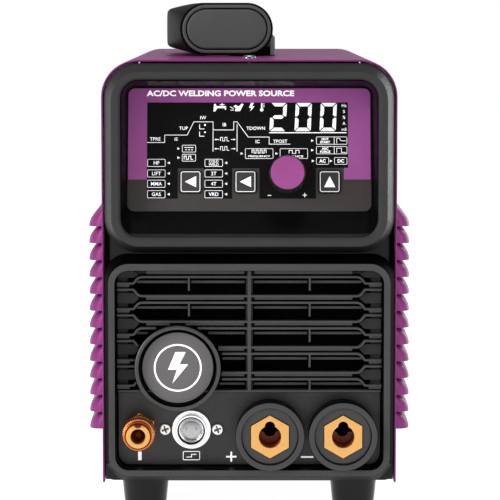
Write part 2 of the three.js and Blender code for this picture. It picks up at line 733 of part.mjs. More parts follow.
function gasInlet() {
  const { x, z, end } = GAS_INLET;
  const from = REAR_PANEL.back + GAP;
  const barbs = [0, 1, 2].flatMap((i) => [[4.6, 463 + 7 * i], [3.7, 469.7 + 7 * i]]);
  const profile = [
    [0, 436], [5.1, 436], [5.1, from], [6, from], [6, 463], ...barbs, [3.4, end], [0, end],
  ];
  const solids = [turnedY(profile, x, z, 20), hexY(17, from, from + 6, x, z)];
  return shaped(solids, [barY(2.2, 430, end + 2, x, z, 12)]);
}

function groundStud() {
  const { x, z } = STUD;
  const from = REAR_PANEL.back + GAP;
  return shaped([barY(4, 443, 465, x, z, 20), hexY(13, from, from + 6.5, x, z)]);
}

// ---------------------------------------------------------------- inside the case

function powerBoard() {
  const pieces = [block([-70, behindRim(64), 52], [70, behindRim(390), 53.6])];
  for (const [x, depth] of [[-34, 84], [0, 84], [34, 84]]) {
    const can = new THREE.CylinderGeometry(14, 14, 46, 20).rotateX(QUARTER);
    pieces.push(can.translate(x, behindRim(depth), 76));
  }
  return shaped(pieces);
}

function heatsink(side) {
  const [inner, outer, low, high] = [14, 66, 58, 126];
  const points = [[inner, low], [outer, low]];
  const fins = 6;
  const pitch = (outer - inner) / fins;
  for (let i = 0; i < fins; i++) {
    const right = outer - i * pitch;
    points.push([right, high], [right - 2.4, high], [right - 2.4, low + 7], [right - pitch, low + 7]);
  }
  points.pop();
  points.push([inner, low + 7]);
  const outline = side > 0 ? points : points.map(([x, z]) => [-x, z]).reverse();
  return uprightPlate(outlineShape(outline), 130, 180);
}

function mainTransformer() {
  const core = block([-38, behindRim(330), 56], [38, behindRim(388), 116]);
  const winding = block([-24, behindRim(320), 66], [24, behindRim(402), 106]);
  return shaped([core, winding]);
}

function outputInductor() {
  const ring = new THREE.TorusGeometry(28, 10, 8, 18);
  return ring.rotateX(QUARTER).translate(28, behindRim(90), 140);
}

function gasSolenoid() {
  const { x, z } = GAS_INLET;
  const valve = block([x - 11, behindRim(412), z - 9], [x + 11, behindRim(435.5), z + 9]);
  const coil = block([x - 9, behindRim(414), z + 8], [x + 9, behindRim(433), z + 34]);
  return shaped([valve, coil], [barY(2.2, 410, 440, x, z, 12)]);
}

function gasHose() {
  const { x, z } = GAS_INLET;
  const side = -77;
  const route = [
    [x, 411.6, z], [x, 404, z], [x - 4, 394, 44], [x - 24, 380, 40], [side + 6, 366, 40], [side, 346, 40],
    [side, 230, 40], [side, 100, 40], [side + 3, 74, 40], [GAS.x - 2, 58, 46], [GAS.x, 48, GAS.z],
    [GAS.x, 40.4, GAS.z],
  ];
  const points = route.map(([across, depth, up]) => new THREE.Vector3(across, behindRim(depth), up));
  const path = new THREE.CatmullRomCurve3(points, false, 'centripetal');
  const section = outlineShape(roundedOutline(3.4, -3.4, 3.4, 3.2, 3.2, 1));
  return new THREE.ExtrudeGeometry(section, { steps: 26, bevelEnabled: false, extrudePath: path });
}

// ---------------------------------------------------------------- assembly

addPart('base_tray', baseTray(), FINISH.steel);
addPart('top_cover', topCover(), FINISH.purple);
addPart('front_bulkhead', frontBulkhead(), FINISH.molding);
addPart('display_bezel', displayBezel(), FINISH.molding);
addPart('lower_frame', lowerFrame(), FINISH.molding);
addPart('air_grille', airGrille(), FINISH.darkMolding);
addPart('connector_panel', connectorPanel(), FINISH.darkMolding);
addPart('cover_screw_front', coverScrew(DEPTH.coverFront + 41), FINISH.steel);
addPart('cover_screw_rear', coverScrew(DEPTH.coverBack - 41), FINISH.steel);

addPart('control_panel', controlPanel(), FINISH.molding, panelGroup);
addPart('lcd_module', lcdModule(), FINISH.glass, panelGroup);
addPart('control_board', controlBoard(), FINISH.board, panelGroup);
addPart('encoder_body', encoderBody(), FINISH.steel, panelGroup);
addPart('encoder_shaft', encoderShaft(), FINISH.steel, panelGroup);
addPart('encoder_knob', knobBody(), FINISH.rubber, panelGroup);
addPart('knob_cap', knobCap(), FINISH.purple, panelGroup);
for (const [name, x] of Object.entries(BUTTONS)) {
  addPart(name, buttonCap(), FINISH.molding, panelGroup).position.set(x, 0, BUTTON.height);
}

addPart('badge_ring', tubeY(BADGE.radius, BADGE.inner, 0.2, 14.6, BADGE.x, BADGE.z, 36), FINISH.gloss);
const badgeDisc = barY(BADGE.inner - 0.4, BADGE.face, BADGE.face + 2, BADGE.x, BADGE.z, 28);
addPart('badge_disc', badgeDisc, FINISH.aluminium);
for (const side of ['left', 'right']) {
  const x = DINSE[side];
  addPart(`dinse_collar_${side}`, dinseCollar(x), FINISH.rubber);
  addPart(`dinse_insert_${side}`, dinseInsert(x), FINISH.brass);
  addPart(`dinse_nut_${side}`, dinseNut(x), FINISH.brass);
}
addPart('gas_coupler_body', gasCouplerBody(), FINISH.brass);
addPart('gas_coupler_sleeve', gasCouplerSleeve(), FINISH.brass);
addPart('torch_socket_shell', torchSocketShell(), FINISH.steel);
addPart('torch_socket_insert', torchSocketInsert(), FINISH.rubber);
addPart('panel_screw_left', panelScrew(TORCH.x - TORCH.screwOffset), FINISH.steel);
addPart('panel_screw_right', panelScrew(TORCH.x + TORCH.screwOffset), FINISH.steel);

for (const [end, depth] of [['front', FOOT.front], ['rear', FOOT.back]]) {
  addPart(`foot_${end}_left`, foot(-FOOT.x, depth), FINISH.rubber);
  addPart(`foot_${end}_right`, foot(FOOT.x, depth), FINISH.rubber);
}

addPart('handle_base', handleBase(), FINISH.grip);
addPart('handle_grip', handleGrip(), FINISH.grip);
addPart('handle_cap_front', handleCap(HANDLE.front - 2), FINISH.grip);
addPart('handle_cap_rear', handleCap(HANDLE.back + GAP), FINISH.grip);
for (const [name, from] of [['hinge_pin_front', HANDLE.front + 7], ['hinge_pin_rear', HANDLE.back - 36]]) {
  addPart(name, barY(HANDLE.pin, from, from + 29, HANDLE.pivotX, HANDLE.pivotZ), FINISH.steel);
}

addPart('rear_frame', rearFrame(), FINISH.molding);
addPart('rear_panel', rearPanel(), FINISH.molding);
addPart('fan_frame', fanFrame(), FINISH.rubber);
addPart('fan_impeller', fanImpeller(), FINISH.rubber);
addPart('fan_guard', fanGuard(), FINISH.steel);
addPart('switch_housing', switchHousing(), FINISH.rubber);
const rocker = addPart('power_rocker', powerRocker(), FINISH.darkMolding);
rocker.position.set(SWITCH.x, behindRim(SWITCH.pivot), SWITCH.z);
rocker.rotation.x = SWITCH.tilt;
addPart('cable_gland', cableGland(), FINISH.rubber);
addPart('gas_inlet', gasInlet(), FINISH.brass);
addPart('ground_stud', groundStud(), FINISH.steel);

addPart('power_board', powerBoard(), FINISH.board);
addPart('heatsink_left', heatsink(-1), FINISH.aluminium);
addPart('heatsink_right', heatsink(1), FINISH.aluminium);
addPart('main_transformer', mainTransformer(), FINISH.copper);
addPart('output_inductor', outputInductor(), FINISH.copper);
addPart('gas_solenoid', gasSolenoid(), FINISH.brass);
addPart('gas_hose', gasHose(), FINISH.rubber);

export default group;
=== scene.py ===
import math

import bmesh
import bpy
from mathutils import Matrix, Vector
from mathutils.geometry import tessellate_polygon


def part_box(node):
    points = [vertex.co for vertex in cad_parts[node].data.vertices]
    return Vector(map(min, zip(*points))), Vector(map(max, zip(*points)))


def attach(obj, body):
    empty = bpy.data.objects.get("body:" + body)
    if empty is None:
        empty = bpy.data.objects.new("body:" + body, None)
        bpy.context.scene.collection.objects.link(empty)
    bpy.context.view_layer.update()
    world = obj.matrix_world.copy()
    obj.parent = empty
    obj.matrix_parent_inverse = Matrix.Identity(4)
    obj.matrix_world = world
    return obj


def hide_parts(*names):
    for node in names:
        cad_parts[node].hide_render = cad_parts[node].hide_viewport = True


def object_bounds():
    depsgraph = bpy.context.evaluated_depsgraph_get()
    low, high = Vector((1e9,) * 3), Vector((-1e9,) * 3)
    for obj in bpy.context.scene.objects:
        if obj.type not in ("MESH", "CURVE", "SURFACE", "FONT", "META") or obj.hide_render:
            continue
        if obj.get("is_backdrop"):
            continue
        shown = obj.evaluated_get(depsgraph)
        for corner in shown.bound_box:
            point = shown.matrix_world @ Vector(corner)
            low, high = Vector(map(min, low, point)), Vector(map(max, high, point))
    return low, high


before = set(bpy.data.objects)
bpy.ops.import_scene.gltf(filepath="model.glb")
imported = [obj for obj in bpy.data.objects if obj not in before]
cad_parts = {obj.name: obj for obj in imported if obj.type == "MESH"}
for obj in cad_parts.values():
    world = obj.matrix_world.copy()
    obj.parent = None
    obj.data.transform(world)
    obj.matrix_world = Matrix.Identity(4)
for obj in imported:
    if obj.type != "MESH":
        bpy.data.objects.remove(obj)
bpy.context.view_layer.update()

# Sizes below are millimetres. Depth is the distance behind the flat rims of the front moldings.
MM = 0.001
RIM_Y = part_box("display_bezel")[0].y
QUARTER = math.pi / 2
REACH = 0.48  # the share of a side that the rounding of one corner may take


def span(node):
    """Ranges of a CAD node as (x low, x high), (depth low, depth high), (z low, z high)."""
    low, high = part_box(node)
    depths = ((low.y - RIM_Y) / MM, (high.y - RIM_Y) / MM)
    return (low.x / MM, high.x / MM), depths, (low.z / MM, high.z / MM)


def middle(node):
    """Centre of a CAD node as x and z."""
    (x0, x1), _, (z0, z1) = span(node)
    return (x0 + x1) / 2, (z0 + z1) / 2


# ------------------------------------------------------------------ places

def upright(x, depth, z):
    """A place in the room: across, behind the front rims and up."""
    return Vector((x * MM, RIM_Y + depth * MM, z * MM))


PANEL_TILT = math.radians(13.2)
PANEL_DEPTH = span("control_panel")[1][0]
PANEL_FOOT = span("control_panel")[2][0] + 2.5 * math.sin(PANEL_TILT)


def on_panel(x, behind, up):
    """A place on the tilted panel: across, behind its face and up its face."""
    sine, cosine = math.sin(PANEL_TILT), math.cos(PANEL_TILT)
    depth = PANEL_DEPTH + up * sine + behind * cosine
    return upright(x, depth, PANEL_FOOT + up * cosine - behind * sine)


def standing(x, up, depth):
    """Like upright(), with the turning axis along Z, for feet and cover screws."""
    return upright(x, depth, up)


# ------------------------------------------------------------------ outlines

def arc(cx, cy, radius, start, end, steps):
    """Points round part of a circle, both ends included. Angles run anticlockwise from the right."""
    points = []
    for i in range(steps + 1):
        angle = start + (end - start) * i / steps
        points.append((cx + radius * math.cos(angle), cy + radius * math.sin(angle)))
    return points


def quarter_turn(steps):
    """Angles that divide a quarter turn evenly."""
    return [QUARTER * k / steps for k in range(steps + 1)]


def circle(cx, cy, radius, steps=64):
    return arc(cx, cy, radius, 0, 2 * math.pi, steps)[:-1]


def hexagon(cx, cy, across):
    """A hexagon of a given width across its flats, with a point at the top."""
    return arc(cx, cy, across / math.sqrt(3), QUARTER, 5 * QUARTER, 6)[:-1]


def box_outline(left, right, low, high):
    return [(left, low), (right, low), (right, high), (left, high)]


def rounded_box(left, right, low, high, radius, radius_low=None, steps=10):
    """Anticlockwise from the lower right corner."""
    lower = radius if radius_low is None else radius_low
    points = arc(right - lower, low + lower, lower, -QUARTER, 0, steps)
    points += arc(right - radius, high - radius, radius, 0, QUARTER, steps)
    points += arc(left + radius, high - radius, radius, QUARTER, 2 * QUARTER, steps)
    points += arc(left + lower, low + lower, lower, 2 * QUARTER, 3 * QUARTER, steps)
    return points


def offset(outline, distance):
    """Moves an anticlockwise outline outwards, or inwards for a negative distance."""
    moved = []
    count = len(outline)
    for i, (x, y) in enumerate(outline):
        before = Vector(outline[i - 1])
        here = Vector((x, y))
        after = Vector(outline[(i + 1) % count])
        first = (here - before).normalized()
        second = (after - here).normalized()
        normal = Vector((first.y + second.y, -first.x - second.x))
        if normal.length < 1e-6:
            normal = Vector((first.y, -first.x))
        normal.normalize()
        stretch = max(0.35, normal.dot(Vector((first.y, -first.x))))
        moved.append((x + normal.x * distance / stretch, y + normal.y * distance / stretch))
    return moved


def corner_curve(start, corner, end, steps):
    """Points on a curve from start to end that bends at a corner."""
    points = []
    for k in range(steps + 1):
        t = k / steps
        points.append(start * (1 - t) ** 2 + corner * 2 * t * (1 - t) + end * t ** 2)
    return points


def filleted(points, radius, closed=True, steps=4):
    """Rounds the corners of a polyline. A point may carry its own radius as a third number."""
    result = []
    count = len(points)
    for i, point in enumerate(points):
        here = Vector(point[:2])
        own = point[2] if len(point) > 2 else radius
        if own <= 0 or (not closed and i in (0, count - 1)):
            result.append(tuple(here))
            continue
        before = Vector(points[i - 1][:2]) - here
        after = Vector(points[(i + 1) % count][:2]) - here
        reach = min(own, before.length * REACH, after.length * REACH)
        start, end = here + before.normalized() * reach, here + after.normalized() * reach
        result += [tuple(mixed) for mixed in corner_curve(start, here, end, steps)]
    return result


# ------------------------------------------------------------------ solids

class Solid:
    """Vertices and faces of one piece, gathered before it becomes a mesh."""

    def __init__(self):
        self.verts = []
        self.faces = []

    def loft(self, loops, ring=False, caps=True):
        """Skins loops that have equal numbers of points."""
        count = len(loops[0])
        base = len(self.verts)
        for loop in loops:
            self.verts.extend(loop)
        rows = len(loops) if ring else len(loops) - 1
        for row in range(rows):
            near = base + row * count
            far = base + ((row + 1) % len(loops)) * count
            for i in range(count):
                j = (i + 1) % count
                self.faces.append((near + i, near + j, far + j, far + i))
        if caps and not ring:
            self.faces.append(tuple(reversed(range(base, base + count))))
            last = base + (len(loops) - 1) * count
            self.faces.append(tuple(range(last, last + count)))
        return self

    def turned(self, profile, cx, cz, steps=64, place=upright, ring=False, flutes=None):
        """Turns (radius, depth) pairs about an axis. flutes gives a factor for an angle and radius."""
        loops = []
        for radius, depth in profile:
            loop = []
            for i in range(steps):
                angle = 2 * math.pi * i / steps
                length = radius * (flutes(angle, radius) if flutes else 1)
                loop.append(place(cx + length * math.cos(angle), depth, cz + length * math.sin(angle)))
            loops.append(loop)
        return self.loft(loops, ring=ring)

    def prism(self, outline, front, back, edge=0.3, place=upright, back_edge=0.0, steps=3):
        """An outline given thickness, with its front edge rounded, and its back edge if asked."""
        rows = [(front + edge * (1 - math.cos(angle)), edge * (1 - math.sin(angle)))
                for angle in quarter_turn(steps)]
        if back_edge:
            rows += [(back - back_edge * (1 - math.sin(angle)), back_edge * (1 - math.cos(angle)))
                     for angle in quarter_turn(steps)]
        else:
            rows.append((back, 0))
        return self.loft([[place(x, depth, y) for x, y in offset(outline, -inset)] for depth, inset in rows])

    def plate(self, outer, holes, front, back, edge=0.3, place=upright):
        """A flat plate with holes, its front edges rounded. All outlines are anticlockwise."""
        contours = [(outer, -1)] + [(hole, 1) for hole in holes]
        ends = {"front": [], "back": []}
        for outline, sign in contours:
            loops = []
            for angle in quarter_turn(2):
                shift = sign * edge * (1 - math.sin(angle))
                depth = front + edge * (1 - math.cos(angle))
                loops.append([place(x, depth, y) for x, y in offset(outline, shift)])
            loops.append([place(x, back, y) for x, y in outline])
            start = len(self.verts)
            self.loft(loops, caps=False)
            count = len(outline)
            ends["front"].append((start, offset(outline, sign * edge)))
            ends["back"].append((start + 3 * count, outline))
        for parts in ends.values():
            index = [start + i for start, outline in parts for i in range(len(outline))]
            flat = [[Vector((x, y, 0)) for x, y in outline] for _, outline in parts]
            self.faces.extend(tuple(index[i] for i in triangle) for triangle in tessellate_polygon(flat))
        return self

    def bar(self, path, width, front, back, edge=0.25, place=upright):
        """A flat strip of one width along a polyline, with mitred corners."""
        left, right = [], []
        for i, point in enumerate(path):
            here = Vector(point)
            first = (here - Vector(path[i - 1])) if i else (Vector(path[1]) - here)
            second = (Vector(path[i + 1]) - here) if i < len(path) - 1 else first
            normals = [Vector((-d.y, d.x)).normalized() for d in (first, second)]
            side = (normals[0] + normals[1]).normalized()
            side *= width / 2 / max(0.4, side.dot(normals[0]))
            left.append(tuple(here + side))
            right.append(tuple(here - side))
        return self.prism(right + left[::-1], front, back, edge, place, steps=2)

    def block(self, x0, x1, d0, d1, z0, z1, edge=0.4, place=upright):
        """A box given by its ranges across, in depth and up, with all its edges rounded."""
        outline = filleted(box_outline(x0, x1, z0, z1), edge, steps=3)
        return self.prism(outline, d0, d1, edge, place, back_edge=edge)


def molded_ring(rows):
    """Skins a closed chain of (loop, radius) rows, each loop rounded towards its two neighbours."""
    loops = []
    for i, (loop, radius) in enumerate(rows):
        befores, afters = rows[i - 1][0], rows[(i + 1) % len(rows)][0]
        curves = []
        for before, here, after in zip(befores, loop, afters):
            first, second = before - here, after - here
            start = here + first.normalized() * min(radius * MM, first.length * REACH)
            end = here + second.normalized() * min(radius * MM, second.length * REACH)
            curves.append(corner_curve(start, here, end, 3))
        loops += [list(loop) for loop in zip(*curves)]
    return Solid().loft(loops, ring=True)


def piece(name, solid, material, node=None, body="case", sharp=38, sides=None, under=None):
    """Makes a Solid an object that rides on a body and hides a CAD node, if one is named.

    Faces that look sideways take the material sides, and faces that look down take under. These are darker or
    lighter copies that paint light and shade by the way a face looks.
    """
    mesh = bpy.data.meshes.new(name)
    mesh.from_pydata(solid.verts, [], solid.faces)
    edit = bmesh.new()
    edit.from_mesh(mesh)
    bmesh.ops.remove_doubles(edit, verts=edit.verts, dist=2e-7)
    bmesh.ops.recalc_face_normals(edit, faces=edit.faces)
    edit.to_mesh(mesh)
    edit.free()
    mesh.materials.append(material)
    if sides:
        mesh.materials.append(sides)
        mesh.materials.append(under or sides)
        for face in mesh.polygons:
            if under and face.normal.z < -0.3:
                face.material_index = 2
            elif abs(face.normal.y) < 0.6:
                face.material_index = 1
    made = bpy.data.objects.new(name, mesh)
    bpy.context.scene.collection.objects.link(made)
    finish_shading(made, sharp)
    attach(made, body)
    if node:
        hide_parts(node)


def finish_shading(made, sharp, bevel=0.0):
    """Smooth shading that keeps edges over an angle sharp, or rounds them by a bevel in millimetres."""
    made.data.shade_smooth()
    made.data.set_sharp_from_angle(angle=math.radians(sharp))
    if bevel:
        rounding = made.modifiers.new("edges", "BEVEL")
        rounding.width = bevel * MM
        rounding.segments = 2
        rounding.limit_method = "ANGLE"
        rounding.angle_limit = math.radians(sharp)
    weighted = made.modifiers.new("flats", "WEIGHTED_NORMAL")
    weighted.keep_sharp = True


# ------------------------------------------------------------------ materials

NOISE_RANGE = (0.3, 0.7)


def colour(red, green, blue):
    """A colour given as it looks on a screen, out of 255, turned to linear light."""
    values = []
    for level in (red, green, blue):
        share = level / 255
        values.append(share / 12.92 if share <= 0.04045 else ((share + 0.055) / 1.055) ** 2.4)
    return (*values, 1.0)


class Finish:
    """A Principled material whose colour, roughness and bump come from noise in object space."""

    def __init__(self, name, roughness, metallic=0.0, specular=0.5):
        self.material = bpy.data.materials.new(name)
        self.material.use_nodes = True
        self.nodes = self.material.node_tree.nodes
        self.links = self.material.node_tree.links
        self.shader = self.nodes["Principled BSDF"]
        self.put("Roughness", roughness)
        self.put("Metallic", metallic)
        self.put("Specular IOR Level", specular)
        self.where = self.nodes.new("ShaderNodeTexCoord").outputs["Object"]
        self.height = None

    def put(self, socket, value):
        self.shader.inputs[socket].default_value = value

    def glow(self, strength):
        self.put("Emission Color", (1, 1, 1, 1))
        self.put("Emission Strength", strength)

    def stretched(self, scale):
        mapping = self.nodes.new("ShaderNodeMapping")
        mapping.inputs["Scale"].default_value = scale
        self.links.new(self.where, mapping.inputs["Vector"])
        return mapping.outputs["Vector"]

    def noise(self, size, detail=3.0, scale=None):
        """Noise whose features are about this many millimetres across."""
        node = self.nodes.new("ShaderNodeTexNoise")
        node.inputs["Scale"].default_value = 1 / (size * MM)
        node.inputs["Detail"].default_value = detail
        self.links.new(self.stretched(scale) if scale else self.where, node.inputs["Vector"])
        return node.outputs["Fac"]

    def shades(self, value, first, second):
        """Colours from first to second over the middle of a noise's range."""
        node = self.nodes.new("ShaderNodeValToRGB")
        for element, position, shade in zip(node.color_ramp.elements, NOISE_RANGE, (first, second)):
            element.position = position
            element.color = shade
        self.links.new(value, node.inputs["Fac"])
        self.links.new(node.outputs["Color"], self.shader.inputs["Base Color"])

    def rough(self, value, low, high):
        node = self.nodes.new("ShaderNodeMapRange")
        for socket, level in zip(("From Min", "From Max", "To Min", "To Max"), (*NOISE_RANGE, low, high)):
            node.inputs[socket].default_value = level
        self.links.new(value, node.inputs["Value"])
        self.links.new(node.outputs["Result"], self.shader.inputs["Roughness"])

    def bump(self, value, depth, strength=1.0):
        """Adds a layer of bump this many millimetres deep."""
        node = self.nodes.new("ShaderNodeBump")
        node.inputs["Distance"].default_value = depth * MM
        node.inputs["Strength"].default_value = strength
        self.links.new(value, node.inputs["Height"])
        if self.height:
            self.links.new(self.height, node.inputs["Normal"])
        self.height = node.outputs["Normal"]
        self.links.new(self.height, self.shader.inputs["Normal"])


def mottled(base, spread):
    """A screen colour a little darker and a little lighter."""
    linear = colour(*base)[:3]
    return [(*[min(1.0, channel * factor) for channel in linear], 1.0) for factor in (1 - spread, 1 + spread)]


def painted(name, base, roughness, metallic=0.0, coat=0.0, specular=0.5):
    """Powder coat: a fine orange-peel surface over a slightly mottled colour."""
    made = Finish(name, roughness, metallic, specular)
    made.put("Coat Weight", coat)
    made.put("Coat Roughness", 0.25)
    made.shades(made.noise(2.2, 4), *mottled(base, 0.07))
    made.rough(made.noise(9, 4), roughness - 0.06, roughness + 0.07)
    made.bump(made.noise(1.3, 2), 0.05, 0.5)
    made.bump(made.noise(0.35, 2), 0.012, 0.5)
    return made.material


def molded(name, base, roughness=0.42, grain=0.6, depth=0.012, specular=0.5, spread=0.06):
    """Molded plastic with a fine spark-eroded grain and faint flow marks."""
    made = Finish(name, roughness, specular=specular)
    made.shades(made.noise(18, 5, (1, 0.4, 1)), *mottled(base, spread))
    made.rough(made.noise(grain * 2, 3), roughness - 0.06, roughness + 0.08)
    made.bump(made.noise(grain, 2), depth, 0.6)
    made.bump(made.noise(30, 2), 0.08, 0.3)
    return made.material


def metal(name, base, roughness, streak=(1, 1, 1), spread=0.08, depth=0.01):
    """Bare metal with fine marks, which streak stretches along the way it was turned or drawn."""
    made = Finish(name, roughness, 1.0)
    made.shades(made.noise(1.5, 4, streak), *mottled(base, spread))
    made.rough(made.noise(0.8, 4, streak), roughness - 0.06, roughness + 0.1)
    made.bump(made.noise(0.4, 3, streak), depth, 0.5)
    return made.material


def glowing(name, roughness, shades, glow, mottle, grain, depth, strength):
    """White print, whose glow is painted light, or lit segments, which give off a little light of their own.
    """
    made = Finish(name, roughness)
    made.shades(made.noise(mottle, 2), *[colour(*shade) for shade in shades])
    made.glow(glow)
    made.bump(made.noise(grain, 2), depth, strength)
    return made.material


# Finishes. Each gives its screen colour and then what its maker takes, in order.
PURPLE_PAINT = painted("cover_paint", (128, 36, 110), 0.42, 0.1, specular=0.3)
PURPLE_FILM = molded("panel_print_purple", (163, 85, 155), 0.42, 0.4, 0.008, 0.3)
GRAY_FILM = molded("panel_print_gray", (64, 60, 59), 0.45, 0.4, 0.008, 0.2)
BLACK_FILM = molded("lcd_window", (15, 15, 16), 0.3, 1.5, 0.002, 0.12, 0.04)
MOLDING = molded("molding_gray", (36, 36, 37), 0.42, 0.6, 0.012, 0.11)
# A darker copy of the molding for faces that look down and for the ring inside the Dinse collars: painted
# shade.
MOLDING_SHADED_UNDER = molded("molding_underside_painted_shade", (30, 30, 31), 0.5, 0.6, 0.012, 0.02)
# A lighter copy of the molding for the bezel's forward faces: painted light.
BEZEL_FACE_LIT = molded("bezel_face_painted_light", (49, 49, 50), 0.42, 0.6, 0.012, 0.2)
# A lighter copy of the molding for the lower frame's forward faces: painted light. It also paints the shade
# on the floor of the panel screws' cross recesses.
RIM_GRAY_LIT_AND_SHADE = molded("rim_gray_painted_light_and_shade", (67, 67, 67), 0.42, 0.6, 0.012, 0.12)
GRILLE_PLASTIC = molded("grille_dark", (57, 57, 58), 0.4, 0.6, 0.012, 0.4)
# A darker copy of the grille plastic for the set-back blocks: painted shade.
GRILLE_SHADE = molded("grille_recess_painted_shade", (44, 44, 45), 0.5, 0.8, 0.012, 0.2)
PANEL_PLASTIC = molded("connector_panel_plastic", (36, 36, 37), 0.36, 0.6, 0.01)
# Gloss black for the linings, darkened to paint the shade in their recesses as well. On the sideways faces of
# the badge ring and Dinse collars it is painted shade.
GLOSS_BLACK_AND_SHADE = molded("bezel_lining", (8, 8, 9), 0.34, 3.0, 0.0005, 0.024)
# Matt black that paints shade: in gaps, on the lower frame's sides, behind the grille, deep in the Dinse
# bores and in the handle caps' creases.
PAINTED_SHADE_BLACK = molded("painted_shade_black", (3, 3, 3), 0.8, 0.8, 0.02, 0.02)
RING_BLACK = molded("badge_gloss", (54, 54, 55), 0.34, 1.2, 0.006)
KNOB_BLACK = molded("knob_black", (20, 20, 21), 0.32, 0.5, 0.02, 0.5)
KNOB_PURPLE = molded("knob_purple", (146, 70, 130), 0.5, 0.5, 0.01, 0.2)
BUTTON_GRAY = molded("button_gray", (62, 60, 59), 0.4, 0.5, 0.008, 0.25)
BADGE_SILVER = molded("badge_silver", (98, 95, 96), 0.4, 0.5, 0.01, 0.35)
DINSE_BLACK = molded("dinse_black", (48, 48, 49), 0.45, 0.6, 0.015)
RUBBER = molded("foot_rubber", (8, 8, 9), 0.2, 3.0, 0.003, 0.25)
# Near-black handle plastic. On the saddle it also paints the shade under the handle.
HANDLE_DARK_AND_SHADE = molded("handle_body_dark_and_shade", (9, 9, 10), 0.5, 0.6, 0.012, 0.035)
# A lighter copy of the handle's gray for the fence: painted light on its face.
FENCE_GRAY_LIT = molded("handle_fence_painted_light", (146, 148, 146), 0.42, 0.6, 0.01, 0.3)
HANDLE_GRAY = molded("handle_gray", (73, 76, 74), 0.42, 0.6, 0.01, 0.25)
ROCKER_BLACK = molded("rocker_black", (14, 14, 15), 0.25, 0.5, 0.006)
FAN_BLACK = molded("fan_black", (16, 16, 17), 0.45, 0.8, 0.02)
BRASS = metal("brass", (226, 172, 101), 0.3, (1, 6, 1), 0.03, 0.001)
COPPER_BRASS = metal("coupler_sleeve_brass", (214, 128, 70), 0.3, (1, 6, 1), 0.06, 0.001)
# Darker copies of the brass, brown and darker brown, for the insides of the bores and the gas coupler:
# painted shade.
SHADED_BRASS = molded("bore_brass_painted_shade", (150, 72, 38), 0.4, 1.0, 0.004, 0.4, 0.12)
BORE_SHADE_BROWN = molded("gas_bore_painted_shade", (104, 44, 16), 0.4, 1.0, 0.004, 0.06, 0.12)
NICKEL = metal("socket_nickel", (250, 250, 252), 0.22, (1, 6, 1), 0.02, 0.0006)
SATIN_NICKEL = metal("socket_insert_nickel", (180, 180, 182), 0.3, (1, 1, 1), 0.04, 0.0005)
STEEL = metal("screw_steel", (246, 247, 249), 0.25, (1, 1, 1), 0.02, 0.0004)
DARK_STEEL = metal("screw_dark_steel", (140, 140, 142), 0.18, (1, 1, 1), 0.05, 0.001)
GUARD_WIRE = metal("guard_wire", (175, 177, 180), 0.3, (1, 1, 1), 0.06)
TRAY_STEEL = painted("tray_steel", (20, 20, 21), 0.45)
REAR_PAINT = painted("rear_paint", (30, 30, 31), 0.45, coat=0.1)
ALUMINIUM = metal("heatsink_aluminium", (175, 178, 182), 0.38, (1, 0.05, 1), 0.05)
WINDING = metal("copper_winding", (180, 98, 56), 0.35, (0.2, 8, 8), 0.2, 0.05)
BOARD = molded("circuit_board", (24, 72, 44), 0.4, 2.0, 0.02, spread=0.2)
HOSE = molded("hose_rubber", (18, 18, 20), 0.5, 1.0, 0.03)
# The white print glows a little. This is painted light that keeps it white in the shade of the bezel.
INK = glowing("print_white_painted_glow", 0.5, ((238, 238, 240), (250, 250, 252)), 0.5, 0.6, 0.3, 0.004, 0.4)
SEGMENTS = glowing("lcd_segments", 0.4, ((246, 246, 250), (255, 255, 255)), 0.35, 1.2, 0.5, 0.003, 0.3)


# ------------------------------------------------------------------ folded cover with louvres

COVER_X = 88
COVER_TOP = span("top_cover")[2][1]
COVER_LOW = span("top_cover")[2][0]
COVER_FRONT, COVER_BACK = span("top_cover")[1]
SHOULDER = 22
SHEET = 1.2
COVER_MIDDLE = 140
LOUVRE_ROWS = 13
LOUVRE_PITCH = 10.3
LOUVRE_LOWEST = 45.8
LOUVRE_REACH = 10.1
TOP_LOUVRE_RISE = 18.0
LOUVRE_RISE = 9.1
LOUVRE_STARTS = (45, 250)
LOUVRE_LENGTH = 180
LOUVRE_TAPER = 13  # the length over which each end of a louvre sinks into the sheet


def cover_wall():
    """Outer and inner profile of the sheet, and which gaps between their points are louvre slots."""
    outer = [(COVER_X, COVER_LOW)]
    slots = [False]
    for row in range(LOUVRE_ROWS):
        mouth = LOUVRE_LOWEST + row * LOUVRE_PITCH
        outer += [(COVER_X, mouth), (COVER_X, mouth + LOUVRE_RISE)]
        slots += [True, False]
    bend = arc(COVER_X - SHOULDER, COVER_TOP - SHOULDER, SHOULDER, 0, QUARTER, 12)
    slots += [False] * len(bend)
    outer += bend
    outer += [(-x, z) for x, z in reversed(outer)]
    inner = []
    for x, z in outer:
        side = 1 if x > 0 else -1
        if z <= COVER_TOP - SHOULDER:
            inner.append((x - side * SHEET, z))
        else:
            centre = Vector((side * (COVER_X - SHOULDER), COVER_TOP - SHOULDER))
            inner.append(tuple(centre + (Vector((x, z)) - centre) * (1 - SHEET / SHOULDER)))
    return outer, inner, slots + slots[-2::-1]


